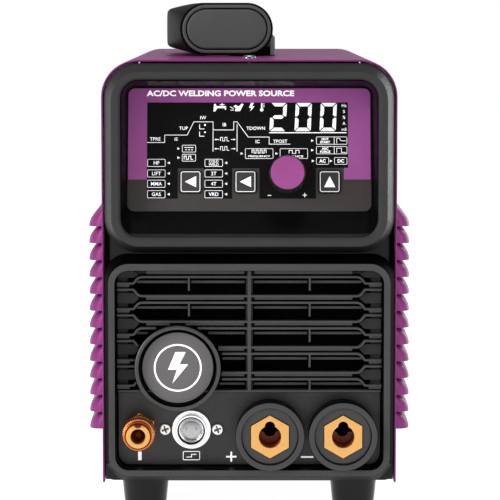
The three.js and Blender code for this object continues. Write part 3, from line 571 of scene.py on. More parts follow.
def build_cover():
    """The folded sheet, with its front and back edges drawn in a little to round them."""
    outer, inner, gaps = cover_wall()
    stations = [COVER_FRONT, COVER_FRONT + 0.4]
    for start in LOUVRE_STARTS:
        stations += [start, start + LOUVRE_LENGTH]
    stations += [COVER_BACK - 0.4, COVER_BACK]
    solid = Solid()
    count = len(outer)
    for sheet, sign in ((outer, -1), (inner, 1)):
        for i, depth in enumerate(stations):
            shrink = 0.35 if i in (0, len(stations) - 1) else 0
            for x, z in sheet:
                factor = 1 + sign * shrink / math.hypot(x, z - COVER_MIDDLE)
                solid.verts.append(upright(x * factor, depth, COVER_MIDDLE + (z - COVER_MIDDLE) * factor))
    rows = len(stations)
    inside = rows * count

    def kept(i, j):
        within = 0 <= i < rows - 1 and 0 <= j < count - 1
        return within and not (stations[i] in LOUVRE_STARTS and gaps[j])

    for i in range(rows - 1):
        for j in range(count - 1):
            if not kept(i, j):
                continue
            a, b = i * count + j, i * count + j + 1
            c, d = b + count, a + count
            solid.faces.append((a, b, c, d))
            solid.faces.append((inside + d, inside + c, inside + b, inside + a))
            for (m, n), (p, q) in (((i - 1, j), (a, b)), ((i + 1, j), (c, d)),
                                   ((i, j - 1), (d, a)), ((i, j + 1), (b, c))):
                if not kept(m, n):
                    solid.faces.append((q, p, inside + p, inside + q))
    return solid


def scoop_section(top_row, share, wall):
    """A louvre's skin as (out from the sheet, up from its mouth), share being how far it stands out."""
    reach = LOUVRE_REACH * share - wall
    points = []
    for i in range(9):
        t = i / 8
        if top_row:
            rise = TOP_LOUVRE_RISE - wall
            points.append((reach * (1 + math.cos(math.pi * t)) / 2, rise * t))
        else:
            rise = LOUVRE_RISE + 0.3 - wall
            points.append((reach * math.cos(QUARTER * t), rise * math.sin(QUARTER * t)))
    droop = 0.7 * share
    return [(out, up - droop * max(0.0, 1 - up / 4)) for out, up in points]


def build_louvres():
    """Pressed scoops with open mouths below. The ends of each one taper into the sheet."""
    solid = Solid()
    taper = [0.0, 0.04, 0.12, 0.25, 0.42, 0.65, 1.0]
    for row in range(LOUVRE_ROWS):
        mouth = LOUVRE_LOWEST + row * LOUVRE_PITCH
        top_row = row == LOUVRE_ROWS - 1
        for start in LOUVRE_STARTS:
            ends = [start - 1.5 + LOUVRE_TAPER * t for t in taper]
            ends += [2 * start + LOUVRE_LENGTH - depth for depth in reversed(ends)]
            shares = [0.06 + 0.94 * math.sqrt(1 - (1 - t) ** 2) for t in taper]
            shares += shares[::-1]
            for side in (1, -1):
                loops = []
                for depth, share in zip(ends, shares):
                    skin = scoop_section(top_row, share, 0)
                    lining = scoop_section(top_row, share, min(SHEET, LOUVRE_REACH * share * 0.5))
                    root, inside = COVER_X - 0.5, COVER_X - 0.9
                    outline = [(root + out, mouth + up) for out, up in skin]
                    outline += [(inside, mouth + skin[-1][1]), (inside, mouth + lining[-1][1])]
                    outline += [(root + out, mouth + up) for out, up in reversed(lining)]
                    loops.append([upright(side * x, depth, z) for x, z in outline])
                solid.loft(loops)
    return solid


piece("cover_shell", build_cover(), PURPLE_PAINT, "top_cover")
piece("cover_louvres", build_louvres(), PURPLE_PAINT, "top_cover", sharp=50)


def cross_outline(x, z, reach, half, turn=0.0):
    """A cross with four equal arms, turned by an angle."""
    points = []
    for quarter in range(4):
        dx, dz = math.cos(quarter * QUARTER + turn), math.sin(quarter * QUARTER + turn)
        points.append((x + dx * reach + dz * half, z + dz * reach - dx * half))
        points.append((x + dx * reach - dz * half, z + dz * reach + dx * half))
        points.append((x + (dx - dz) * half, z + (dz + dx) * half))
    return points


def cylinder(solid, x, z, radius, front, back, steps=20, place=upright, centre=0.05):
    """A plain cylinder inside another piece, such as a shank or a socket's floor."""
    profile = [(centre, front), (radius, front), (radius, back), (centre, back)]
    return solid.turned(profile, x, z, steps, place)


RECESS_SHARE = 0.45  # the share of a screw head's height that its recess takes


def phillips_head(solid, x, z, radius, front, back, place):
    """A pan head with a turned cross recess."""
    cross = filleted(cross_outline(x, z, radius * 0.62, radius * 0.085, 0.35), radius * 0.04, steps=2)
    floor_depth = front + RECESS_SHARE * (back - front)
    solid.plate(circle(x, z, radius, 48), [cross], front, floor_depth, radius * 0.16, place)
    return cylinder(solid, x, z, radius, floor_depth, back, 48, place)


def on_top(x, below, along):
    """A place on the cover's top: across, down from above its sheet, and depth."""
    return upright(x, along, COVER_TOP - below)


for end in ("front", "rear"):
    name = f"cover_screw_{end}"
    (x0, x1), (d0, d1), (z0, z1) = span(name)
    radius, along = (x1 - x0) / 2, (d0 + d1) / 2
    cross = filleted(cross_outline(0, along, radius * 0.56, radius * 0.12), 0.2, steps=2)
    head = Solid().plate(circle(0, along, radius - 1.2, 64), [cross], -2.1, -1.0, 0.1, on_top)
    dome = [
        (0.05, -1.1), (radius - 1.25, -1.1), (radius - 1.25, -2.05), (radius - 0.8, -1.8),
        (radius - 0.35, -1.3), (radius - 0.05, -0.7), (radius, -0.3), (0.05, -0.3),
    ]
    head.turned(dome, 0, along, 64, on_top)
    cylinder(head, 0, along, 1.9, z0 + 0.2, COVER_TOP + 0.3, 24, standing, 0.1)
    piece(name + "_head", head, DARK_STEEL, name)


# ------------------------------------------------------------------ front moldings

def upright_loop(half_width, low, high, radius, depth, radius_low=None):
    """A rounded rectangle centred across the machine, at a depth."""
    outline = rounded_box(-half_width, half_width, low, high, radius, radius_low)
    return [upright(x, depth, z) for x, z in outline]


WELL = 73.0
PANEL_HEIGHT = 74.7


def panel_loop(grow, radius, behind):
    """The tilted panel's outline grown by a distance, and set behind its face."""
    outline = rounded_box(-WELL - grow, WELL + grow, -0.5 - grow, PANEL_HEIGHT + 0.5 + grow, radius)
    return [on_panel(x, behind, up) for x, up in outline]


# Sections of the moldings: each loop with how far its corners are rounded, from the rim outwards and back.
BEZEL_SECTION = [
    (upright_loop(81.3, 160.7, 263.3, 16.4, 0), 0.5),
    (upright_loop(86.3, 155.4, 268.2, 20.5, 19.7), 0.5),
    (upright_loop(84.3, 157.4, 266.2, 18.5, 19.7), 0.4),
    (upright_loop(80.2, 161.9, 262.1, 15, 3), 0.5),
    (upright_loop(78.2, 163.6, 260.7, 13.5, 3), 0.5),
    (panel_loop(2.2, 6.5, 5), 0.4),
    (panel_loop(0.9, 5.6, 5), 0.3),
    (upright_loop(75.9, 165.9, 258.9, 11.2, 1.6), 0.1),
    (upright_loop(77.2, 164.6, 260.2, 12.5, 0), 0.3),
]
# The gloss funnel from the rim down to the tilted panel. Its near-black is partly its own gloss and partly
# painted shade of the recess.
BEZEL_LINING_SECTION = [
    (upright_loop(75.75, 166.05, 258.75, 11.05, 1.75), 0.2),
    (upright_loop(75.1, 167.1, 257.8, 10.3, 3.8), 2.4),
    (panel_loop(-0.1, 4.6, 0.1), 0.1),
    (panel_loop(-0.1, 4.6, 2.8), 0.1),
    (panel_loop(-2.6, 2.5, 2.8), 0.1),
    (panel_loop(-2.6, 2.5, 4.9), 0.1),
    (panel_loop(0.8, 5.5, 4.9), 0.1),
    (upright_loop(75.85, 165.95, 258.85, 11.15, 1.75), 0.1),
]
LOWER_FRAME_SECTION = [
    (upright_loop(83.3, 23.7, 150.4, 12, 0), 0.3),
    (upright_loop(86.6, 17.9, 154.9, 14, 19.7), 0.5),
    (upright_loop(84.9, 19.6, 153.2, 12.5, 19.7), 0.4),
    (upright_loop(82.1, 24.9, 149.2, 11, 3), 0.5),
    (upright_loop(81, 26, 148.1, 10, 3), 0.5),
    (upright_loop(80.4, 26.4, 147.6, 9.4, 19.7), 0.3),
    (upright_loop(79.9, 26.9, 147.0, 9, 19.7), 0.1),
    (upright_loop(79.8, 27.1, 146.8, 8.4, 1.4), 0.3),
    (upright_loop(79.5, 27.5, 146.3, 8.1, 0), 0.3),
]
# The gloss inner wall of the lower frame, near-black to paint the shade at the bottom of its recess.
FRAME_LINING_SECTION = [
    (upright_loop(79.5, 27.4, 146.4, 8.1, 1.5), 0.3),
    (upright_loop(78.9, 27.9, 145.9, 8, 14.0), 0.3),
    (upright_loop(78.8, 28.0, 145.8, 8, 19.6), 0.2),
    (upright_loop(79.5, 27.3, 146.6, 8.4, 19.6), 0.1),
]

# Forward faces take lighter grays and sideways faces darker ones, painted light and shade on one molding. The
# lower frame's downward faces take a darker gray, also painted shade.
piece("display_bezel_shell", molded_ring(BEZEL_SECTION), BEZEL_FACE_LIT, "display_bezel",
      sides=MOLDING)
piece("lower_frame_shell", molded_ring(LOWER_FRAME_SECTION), RIM_GRAY_LIT_AND_SHADE, "lower_frame",
      sides=PAINTED_SHADE_BLACK, under=MOLDING_SHADED_UNDER)
piece("display_bezel_lining", molded_ring(BEZEL_LINING_SECTION), GLOSS_BLACK_AND_SHADE,
      "display_bezel")
# Matt black strips at the edges of the front bulkhead: a painted shadow in the gap between the cover and the
# bulkhead.
gap_shadow = Solid()
for side in (-1, 1):
    x0, x1 = sorted((side * 83.4, side * 86.5))
    gap_shadow.block(x0, x1, 19.4, 19.8, 30, 250, 0.15)
piece("front_bulkhead_gap_shadow", gap_shadow, PAINTED_SHADE_BLACK)
piece("lower_frame_lining", molded_ring(FRAME_LINING_SECTION), GLOSS_BLACK_AND_SHADE, "lower_frame")


# ------------------------------------------------------------------ tilted control panel

BUTTON_X = [middle(name)[0] for name in ("button_left", "button_middle", "button_right")]
BUTTON_UP = 17.6
BUTTON_HALF = (6.35, 6.7)
KNOB_X = middle("encoder_knob")[0]
KNOB_UP = 20.5


def button_outline(x, grow=0.0):
    """A button's outline on the panel, grown for the hole it stands in."""
    wide, tall = BUTTON_HALF[0] + grow, BUTTON_HALF[1] + grow
    return rounded_box(x - wide, x + wide, BUTTON_UP - tall, BUTTON_UP + tall, 1.6 + grow, steps=5)


def panel_holes():
    """The holes for the three buttons and the knob's shaft."""
    holes = [button_outline(x, 0.35) for x in BUTTON_X]
    holes.append(circle(KNOB_X, KNOB_UP, 3.9, 32))
    return holes


# The printed overlay is thin layers: a gray one, a purple one above FILM_SPLIT and the black window.
LCD_LEFT, LCD_RIGHT, LCD_LOW, LCD_HIGH = -60.7, 58.6, 26.2, 65.5
FILM_SPLIT = 19.1
FILM = 0.12
openings = [box_outline(LCD_LEFT, LCD_RIGHT, LCD_LOW, LCD_HIGH)] + panel_holes()
plate_outline = rounded_box(-72.6, 72.6, 0, PANEL_HEIGHT, 4.3)
backing = Solid().plate(plate_outline, openings, 0, 2.5, 0.2, on_panel)
piece("control_panel_plate", backing, GRAY_FILM, "control_panel")
print_outline = rounded_box(-72.2, 72.2, 0.4, PANEL_HEIGHT - 0.4, 4)
gray_print = Solid().plate(print_outline, openings, -FILM, 0.02, 0.05, on_panel)
piece("panel_overlay_gray", gray_print, GRAY_FILM)

PAD_LOW, PAD_HIGH = 7.6, 25.9
BLACK_TABS = [
    (LCD_LEFT, PAD_LOW), (-42.6, PAD_LOW), (-42.6, PAD_HIGH), (-26.9, PAD_HIGH), (-26.9, PAD_LOW),
    (-10.3, PAD_LOW), (-10.3, PAD_HIGH), (6.0, PAD_HIGH), (6.0, PAD_LOW), (39.5, PAD_LOW), (39.5, LCD_LOW),
    (LCD_RIGHT, LCD_LOW), (LCD_RIGHT, LCD_HIGH), (LCD_LEFT, LCD_HIGH),
]
# Where the purple layer goes round the window, clear of its edges.
PURPLE_INSIDE = [
    (-60.9, FILM_SPLIT), (-60.9, 65.7), (58.8, 65.7), (58.8, LCD_LOW), (56.2, LCD_LOW), (56.2, FILM_SPLIT),
]


def purple_outline():
    """The purple layer, which frames the black window from above."""
    left, right, top, corner = -72.1, 72.1, PANEL_HEIGHT - 0.5, 4
    points = [(right, FILM_SPLIT)]
    points += arc(right - corner, top - corner, corner, 0, QUARTER, 8)
    points += arc(left + corner, top - corner, corner, QUARTER, 2 * QUARTER, 8)
    points += [(left, FILM_SPLIT)]
    return points + PURPLE_INSIDE


purple_print = Solid().prism(purple_outline(), -2 * FILM, 0.02, 0.03, on_panel, steps=1)
piece("panel_overlay_purple", purple_print, PURPLE_FILM)
shaft_hole = circle(KNOB_X, KNOB_UP, 3.9, 32)
black_print = Solid().plate(filleted(BLACK_TABS, 0.5, steps=3), [shaft_hole], -3 * FILM, 0.02, 0.04, on_panel)
piece("lcd_window_film", black_print, BLACK_FILM, "lcd_module")
glass = Solid().block(LCD_LEFT + 0.4, LCD_RIGHT - 0.4, 0.1, 7, LCD_LOW + 0.4, LCD_HIGH - 0.4, 0.4, on_panel)
piece("lcd_module_body", glass, BLACK_FILM, "lcd_module")

INK_FRONT = -3 * FILM - 0.06
INK_BACK = -2.5 * FILM


def words(solid, text, x, up, height, weight, align="CENTER", width=None):
    """Raised lettering of a given capital height, in millimetres, centred on a height up the panel."""
    curve = bpy.data.curves.new("lettering", "FONT")
    curve.body = text
    curve.align_x = align
    curve.offset = weight
    curve.extrude = 0.5
    curve.resolution_u = 3
    holder = bpy.data.objects.new("lettering", curve)
    bpy.context.scene.collection.objects.link(holder)
    bpy.context.view_layer.update()
    evaluated = holder.evaluated_get(bpy.context.evaluated_depsgraph_get())
    mesh = bpy.data.meshes.new_from_object(evaluated)
    points = [vertex.co for vertex in mesh.vertices]
    low, high = min(p.y for p in points), max(p.y for p in points)
    scale = height / (high - low)
    across = width / (max(p.x for p in points) - min(p.x for p in points)) if width else scale
    base = len(solid.verts)
    for p in points:
        depth = INK_FRONT if p.z > 0 else INK_BACK
        solid.verts.append(on_panel(x + p.x * across, depth, up + (p.y - (low + high) / 2) * scale))
    solid.faces.extend(tuple(base + i for i in face.vertices) for face in mesh.polygons)
    bpy.data.objects.remove(holder)
    bpy.data.meshes.remove(mesh)
    bpy.data.curves.remove(curve)


# The marks below are printed on the panel, unless they are given another place and depth.
def stroke(solid, path, width, place=on_panel, front=INK_FRONT, back=INK_BACK):
    solid.bar(path, width, front, back, 0.02, place)


def shape(solid, outline, place=on_panel, front=INK_FRONT, back=INK_BACK):
    solid.prism(outline, front, back, 0.02, place, steps=1)


def frame_box(solid, left, right, low, high, width=0.24, radius=0.6, place=on_panel, front=INK_FRONT,
              back=INK_BACK):
    """The outline of a box, drawn with a line of some width."""
    outer = rounded_box(left, right, low, high, radius, steps=4)
    solid.plate(outer, [offset(outer, -width)], front, back, 0.02, place)


def pointer(solid, x, up, size, direction, **where):
    """A small filled triangle. direction is (1, 0) for one that points right."""
    dx, dy = direction
    points = [
        (x + dx * size, up + dy * size), (x - dx * size - dy * size, up - dy * size + dx * size),
        (x - dx * size + dy * size, up - dy * size - dx * size),
    ]
    shape(solid, anticlockwise(points), **where)


def signed_area(points):
    """Area inside an outline, positive where it runs anticlockwise."""
    return sum(a[0] * b[1] - b[0] * a[1] for a, b in zip(points, points[1:] + points[:1])) / 2


def anticlockwise(points):
    return points if signed_area(points) > 0 else points[::-1]


def square_wave(solid, x, up, step, height, pulses, width):
    """A line that is high over its first step, low over the next, and so on."""
    path = [(x, up)]
    for i in range(pulses):
        level = up + height if i % 2 == 0 else up
        path += [(x + i * step, level), (x + (i + 1) * step, level)]
    path.append((x + pulses * step, up))
    distinct = [point for before, point in zip(path, path[1:]) if math.dist(before, point) > 1e-6]
    stroke(solid, path[:1] + distinct, width)


# What is printed on the panel, in millimetres across from its middle and up from its foot.
ROW_HEIGHTS = (29.1, 22.7, 16.5, 10.2)
MODE_COLUMNS = ((-60.6, ("HF", "LIFT", "MMA", "GAS")), (-26.5, ("COLD WELD", "2T", "4T", "VRD")))
# Capital height and weight, then each word with its place.
LETTERING = [
    (1.5, 0.03, [("HOT", 45.1, 43.5), ("START", 45.1, 41.6), ("ARC", 45.1, 37.7), ("FORCE", 45.1, 35.8)]),
    (2.1, 0.03, [("AC", 43.55, 30.25), ("DC", 54.35, 30.25)]),
    (1.8, 0.005, [("Hz", 56.4, 63.8), ("S", 56.4, 60.2), ("%", 56.4, 56.6), ("A", 56.4, 53),
                  ("mS", 56.4, 49.4)]),
    (2.0, 0.005, [("TPRE", -56, 43.5), ("IS", -43.6, 43.4), ("TUP", -39.2, 50), ("IW", -27.6, 56.4),
                  ("IB", -14.9, 52.2), ("TDOWN", 3.9, 50), ("IC", 4.9, 42), ("TPOST", 18.4, 42.1)]),
]
# Left, right, low and high edge of each frame.
FRAMES = [
    (-40, -31.8, 35.5, 39.9), (-40, -31.8, 30, 34.4), (-2.5, 14.2, 31.6, 37.8), (18.2, 34.8, 31.6, 37.8),
    (39.8, 58.2, 40.2, 44.9), (39.8, 58.2, 34.4, 39.1), (39.8, 47.3, 28.1, 32.4), (50.5, 58.2, 28.1, 32.4),
]
POINTERS = [
    (-42, 37.7), (-42, 32.2), (-4.4, 34.7), (16.3, 34.7), (37.6, 42.55), (37.6, 36.75), (37.9, 30.25),
    (48.6, 30.25),
]
# Start x and height, step, rise, number of steps and line width.
SQUARE_WAVES = [
    (-38.8, 31.2, 1.35, 2, 4, 0.35), (1.6, 35, 1.2, 1.9, 7, 0.35), (23.6, 34.8, 2, 1.9, 3, 0.35),
    (-17.2, 42.3, 1.3, 2.2, 4, 0.28), (-17.2, 36.7, 1.3, 2.2, 4, 0.28),
]
# The weld cycle: one line from gas before the arc to gas after it.
WELD_CYCLE = [
    (-60.8, 41.4), (-50.4, 41.4), (-50.4, 45.9), (-37, 45.9), (-33, 53.9), (-21.6, 53.9), (-21.6, 49),
    (-9.3, 49), (-9.3, 53.9), (-7.3, 53.9), (-0.7, 44.7), (11.8, 44.7), (11.8, 40.4), (24.3, 40.4),
]
HOT_START = [(52, 40.9), (52, 44), (53.6, 44), (54.6, 42.4), (57.4, 42.4)]
ARC_FORCE = [(52, 35.2), (52, 38), (54.8, 38), (54.8, 35.4), (57.4, 35.4)]
TORCH = [
    (-21.4, 60.2), (-20.4, 60.2), (-19, 62.2), (-14.6, 62.2), (-14.6, 61.2), (-13.9, 61.2), (-13.9, 63.4),
    (-19.6, 63.4), (-20, 64.8), (-21, 64.8),
]
GLOVE = [
    (-8.6, 60.4), (-5.6, 60.4), (-3.4, 64.6), (-4.6, 65), (-6.2, 63.2), (-8.4, 64.2), (-9.4, 63.2),
    (-8, 62.2),
]
# Line width, then the lines.
LINES = [
    (0.28, [[(50.5, 40.4), (50.5, 44.7)], [(50.5, 34.6), (50.5, 38.9)]]),
    (0.3, [WELD_CYCLE, HOT_START, ARC_FORCE, [(-21.6, 36), (-21.6, 48.4)], [(-7.3, 36), (-7.3, 52.5)]]),
    (0.3, [[(8.2, up), (9.1, up)] for up in (63, 63.9, 64.8)]),
    (0.35, [[(-38.6, 38.4), (-33.2, 38.4)]] + [[(x, 37), (x + 1.1, 37)] for x in (-38.2, -36.4, -34.6)]),
    (0.35, [[(-29.6, up + 1.6), (-29.6, up - 1.2), (-26.8, up - 1.2)] for up in (50.8, 46.4)]),
    (0.34, [[(31.6, 9.7), (34.2, 9.7)], [(32.9, 8.4), (32.9, 11)]]),
    (0.36, [[(10.9, 9.5), (13.1, 9.5)]]),
    (0.4, [[(-17.6, 64.3), (-14.8, 64.3)], [(-11.4, 63), (-9.4, 61.9)], [(-11.2, 60.9), (-9.2, 61.1)]]),
    (0.5, [[(11.8, 47.3), (57.8, 47.3)], [(-16.2, 63.3), (-16.2, 65.2)]]),
    (0.8, [[(7.4, 61.4), (7.4, 65.2)]]),
]


def build_legends():
    """Everything printed in white on the panel, apart from the digits and the marks on the buttons."""
    ink = Solid()
    words(ink, "AC/DC WELDING POWER SOURCE", -61.0, 71.2, 3.5, 0.03, "LEFT", 88.0)
    for left, labels in MODE_COLUMNS:
        for label, up in zip(labels, ROW_HEIGHTS):
            frame_box(ink, left, left + 10.7, up - 2.3, up + 2.3)
            pointer(ink, left + 12.6, up, 0.75, (-1, 0))
            lines = label.split()
            height = 2.1 if len(lines) == 1 else 1.5
            for i, line in enumerate(lines):
                words(ink, line, left + 5.35, up + 0.95 * (len(lines) - 1 - 2 * i), height, 0.005)
    words(ink, "FREQUENCY", 5.85, 33.0, 1.25, 0.02, width=13.0)
    words(ink, "BALANCE", 26.5, 33.0, 1.25, 0.02, width=11.0)
    for height, weight, labels in LETTERING:
        for text, x, up in labels:
            words(ink, text, x, up, height, weight)
    for edges in FRAMES:
        frame_box(ink, *edges)
    for x, up in POINTERS:
        pointer(ink, x, up, 0.75, (1, 0))
    for wave in SQUARE_WAVES:
        square_wave(ink, *wave)
    for width, paths in LINES:
        for path in paths:
            stroke(ink, path, width)
    for up in (43.2, 37.6):
        for tip, direction in ((-20.6, -1), (-8.3, 1)):
            stroke(ink, [(tip, up), (tip - direction * 2.6, up)], 0.28)
            pointer(ink, tip - direction * 0.4, up, 0.55, (direction, 0))
    for x, up, radius, steps in ((-26.4, 52, 0.55, 12), (-26.4, 47.6, 0.55, 12), (7.4, 61.2, 1.0, 16)):
        shape(ink, circle(x, up, radius, steps))
    for outline in (TORCH, GLOVE, bolt_outline(1.4, 62.8, 2.6)):
        shape(ink, outline)
    return ink


def bolt_outline(x, up, size):
    """A lightning flash, anticlockwise."""
    points = [
        (-0.35, -1.0), (0.65, 0.22), (0.1, 0.22), (0.5, 1.0), (-0.15, 1.0), (-0.62, -0.12), (-0.05, -0.12),
    ]
    return [(x + px * size, up + py * size) for px, py in points]


def segment_outline(letter, x, low, high, width, half, gap):
    """One segment of a digit, cut at 45 degrees at the corners, with a gap between neighbours."""
    mid = (low + high) / 2
    left, right, top = x - half, x + width + half, high + half
    deep = 2 * half
    upper = [
        (left + gap, top), (left + deep + gap, top - deep), (right - deep - gap, top - deep),
        (right - gap, top),
    ]
    centre = [
        (left + gap + half, mid), (left + deep + gap, mid - half), (right - deep - gap, mid - half),
        (right - gap - half, mid), (right - deep - gap, mid + half), (left + deep + gap, mid + half),
    ]
    upright_bar = [
        (left, mid + gap), (left + half, mid + gap), (left + deep, mid + half + gap),
        (left + deep, top - deep - gap), (left, top - gap),
    ]
    outline = {"a": upper, "d": upper, "g": centre}.get(letter, upright_bar)
    if letter in "bc":
        outline = [(left + right - px, py) for px, py in outline]
    if letter in "cde":
        outline = [(px, 2 * mid - py) for px, py in outline]
    return outline


LIT = {"0": "abcdef", "2": "abged"}
DIGIT_LEFT, DIGIT_LOW, DIGIT_HIGH, DIGIT_WIDTH, DIGIT_PITCH = 13.1, 49.3, 64.3, 7.5, 14.9
DIGIT_SLANT = 0.05


def build_digits():
    """The reading in the window, in slanted seven-segment digits."""
    solid = Solid()
    for i, figure in enumerate("200"):
        for letter in LIT[figure]:
            left = DIGIT_LEFT + i * DIGIT_PITCH
            outline = segment_outline(letter, left, DIGIT_LOW, DIGIT_HIGH, DIGIT_WIDTH, 1.05, 0.45)
            slanted = [(px + (py - DIGIT_LOW) * DIGIT_SLANT, py) for px, py in outline]
            shape(solid, anticlockwise(slanted), front=INK_FRONT - 0.02)
    return solid


piece("panel_legends", build_legends(), INK)
piece("lcd_digits", build_digits(), SEGMENTS)

BUTTON_NAMES = ("button_left", "button_middle", "button_right")
ON_BUTTON = {"front": -1.36, "back": -1.25}

for name, x, direction in zip(BUTTON_NAMES, BUTTON_X, ((-1, 0), (-1, 0), (0, 1))):
    cap = Solid().prism(button_outline(x), -1.3, 5.5, 0.45, on_panel, back_edge=0.2)
    body = name.replace("button", "key")
    piece(name + "_cap", cap, BUTTON_GRAY, name, body=body)
    marks = Solid()
    frame_box(marks, x - 5.75, x + 5.75, BUTTON_UP - 6.1, BUTTON_UP + 6.1, 0.32, 1.2, **ON_BUTTON)
    pointer(marks, x, BUTTON_UP, 3.3, direction, **ON_BUTTON)
    piece(name + "_mark", marks, INK, body=body)


def fluted(count, depth, reach):
    """Radius factor for straight knurling round whatever stands out further than reach."""
    def factor(angle, radius):
        return 1 - depth * (0.5 + 0.5 * math.cos(count * angle)) if radius > reach else 1
    return factor


KNOB_PROFILE = [
    (3.2, -14.4), (3.2, -5), (8, -5), (8.6, -1.2), (10.6, -1.2), (10.95, -1.6), (10.95, -15.6), (10.7, -16.4),
    (10.25, -16.9), (10.15, -15.5), (3.2, -15.4),
]
knob = Solid().turned(KNOB_PROFILE, KNOB_X, KNOB_UP, 180, on_panel, ring=True, flutes=fluted(45, 0.035, 10.2))
piece("encoder_knob_grip", knob, KNOB_BLACK, "encoder_knob", body="knob", sharp=50)
CAP_PROFILE = [
    (0.05, -15.7), (9.9, -15.7), (10, -15.9), (10, -16.9), (9.8, -17.25), (9.2, -17.4), (5, -17.4),
    (0.05, -17.4),
]
piece("knob_cap_face", Solid().turned(CAP_PROFILE, KNOB_X, KNOB_UP, 96, on_panel), KNOB_PURPLE,
      "knob_cap", body="knob")


# ------------------------------------------------------------------ air grille

GRILLE_LOW, GRILLE_HIGH = 73.0, 145.6
RIB = 1.4
RIB_STEP = 2.0
RIB_FRONT, RIB_BACK = 7.0, 10.9
ROW_TOPS = (142.0, 126.7, 111.4, 96.2, 81.0)
SLOT_DROP = 11.4
SIDE_RIB = 1.85
SIDE_X, BEND_X, SLOT_X = 78.6, 68.6, 65.7
BADGE_X, BADGE_Z = middle("badge_ring")


def rib_path(side, side_z, rib_z):
    """From one side of the grille, up or down a bend and along a slot to the middle."""
    points = [(side * SIDE_X, side_z), (side * BEND_X, side_z, 0.6), (side * SLOT_X, rib_z, 3.2), (0, rib_z)]
    return filleted(points, 0, closed=False, steps=5)


def clear_of_badge(x0, x1, z, gap=26.0):
    """Cuts a level rib where the badge's ring stands, and gives what is left of it."""
    reach = gap ** 2 - (z - BADGE_Z) ** 2
    if reach <= 0:
        return [(x0, x1)]
    half = math.sqrt(reach)
    parts = []
    if x0 < BADGE_X - half:
        parts.append((x0, min(x1, BADGE_X - half)))
    if x1 > BADGE_X + half:
        parts.append((max(x0, BADGE_X + half), x1))
    return [(a, b) for a, b in parts if b - a > 0.6]


def add_rib(solid, path, width, front):
    """A rib along a path, left out inside the badge."""
    run = []
    for point in dense(path):
        inside = math.dist(point, (BADGE_X, BADGE_Z)) < 25.9
        if not inside:
            run.append(point)
        if (inside or point == path[-1]) and len(run) > 1:
            solid.bar(run, width, front, RIB_BACK, 0.3)
        if inside:
            run = []


def dense(path):
    """The same path with points added about every RIB_STEP along it."""
    result = [path[0]]
    for end in path[1:]:
        start = result[-1]
        count = max(1, int(math.dist(start, end) / RIB_STEP))
        for i in range(1, count):
            t = i / count
            result.append((start[0] + (end[0] - start[0]) * t, start[1] + (end[1] - start[1]) * t))
        result.append(end)
    return result


def build_grille_ribs():
    """The bent ribs above and below each row of slots, and the uprights between them."""
    ribs = Solid()
    for top in ROW_TOPS:
        low = top - SLOT_DROP
        mid = (top + low) / 2
        for side in (-1, 1):
            add_rib(ribs, rib_path(side, mid + SIDE_RIB, top), RIB, RIB_FRONT)
            if low > GRILLE_LOW:
                add_rib(ribs, rib_path(side, mid - SIDE_RIB, low), RIB, RIB_FRONT)
    add_rib(ribs, [(0, GRILLE_LOW + 0.4), (0, GRILLE_HIGH)], 2.1, RIB_FRONT + 0.05)
    for top in ROW_TOPS:
        end = GRILLE_LOW + 0.6 if top == ROW_TOPS[-1] else top - 8.2
        for x in (-35.8, 35.8):
            add_rib(ribs, [(x, end), (x, top - 0.3)], 1.2, RIB_FRONT + 0.1)
    return ribs


def end_block(side, high, low):
    """The set-back block between two rows at one end, pointed towards the slots."""
    tip = (high + low) / 2
    points = [(-78.4, low), (-68.3, low), (-65.2, tip), (-68.9, high), (-78.4, high)]
    if side > 0:
        points = [(-x, z) for x, z in reversed(points)]
    return filleted(points, 0.4, steps=2)


def build_grille_strips():
    """Strips that hang under the slots, and the thick rails between the ribs at the sides."""
    solid = Solid()
    for row, top in enumerate(ROW_TOPS):
        upper = GRILLE_HIGH if row == 0 else ROW_TOPS[row - 1] - SLOT_DROP + 0.2
        for left, right in ((-61.2, -3.0), (3.0, 61.2)):
            for x0, x1 in clear_of_badge(left, right, top + 2.4):
                solid.block(x0, x1, 8.3, 11, top + 1.6, upper, 0.25)
        middle_height = top - SLOT_DROP / 2
        for side in (-1, 1):
            x0, x1 = sorted((side * 78.4, side * 71.0))
            solid.block(x0, x1, 7.7, 11, middle_height - 0.2, middle_height + SIDE_RIB - 0.4, 0.2)
    return solid


def build_grille_blocks():
    """Set-back blocks at the ends of the rows, and the frame behind the ribs."""
    solid = Solid()
    mids = [top - SLOT_DROP / 2 for top in ROW_TOPS]
    for row, middle_height in enumerate(mids):
        high = GRILLE_HIGH - 0.1 if row == 0 else mids[row - 1] - SIDE_RIB - 2.0
        low = middle_height + SIDE_RIB + 3.1
        for side in (-1, 1):
            solid.prism(end_block(side, high, low), 9.4, 11.4, 0.3)
    for side in (-1, 1):
        x0, x1 = sorted((side * 78.2, side * 72.0))
        solid.block(x0, x1, 10.9, 14.6, GRILLE_LOW + 1.4, GRILLE_HIGH - 0.4, 0.4)
    solid.block(-2.0, 2.0, 10.4, 14.4, GRILLE_LOW + 1, GRILLE_HIGH - 0.5, 0.3)
    solid.block(-78, 78, 10.9, 14.6, GRILLE_HIGH - 2.2, GRILLE_HIGH - 0.4, 0.4)
    return solid


def build_grille_bars():
    """A second, deeper bar behind each slot, and the sill."""
    solid = Solid()
    for top in ROW_TOPS:
        for left, right in ((-67, -36.7), (-34.5, -2.6), (2.6, 34.5), (36.7, 67)):
            for x0, x1 in clear_of_badge(left, right, top - 3.4, 26.6):
                solid.block(x0, x1, 12.6, 14.2, top - 4.25, top - 2.55, 0.3)
    solid.block(-78.2, 78.2, 7.2, 14.6, GRILLE_LOW, GRILLE_LOW + 1.5, 0.35)
    return solid


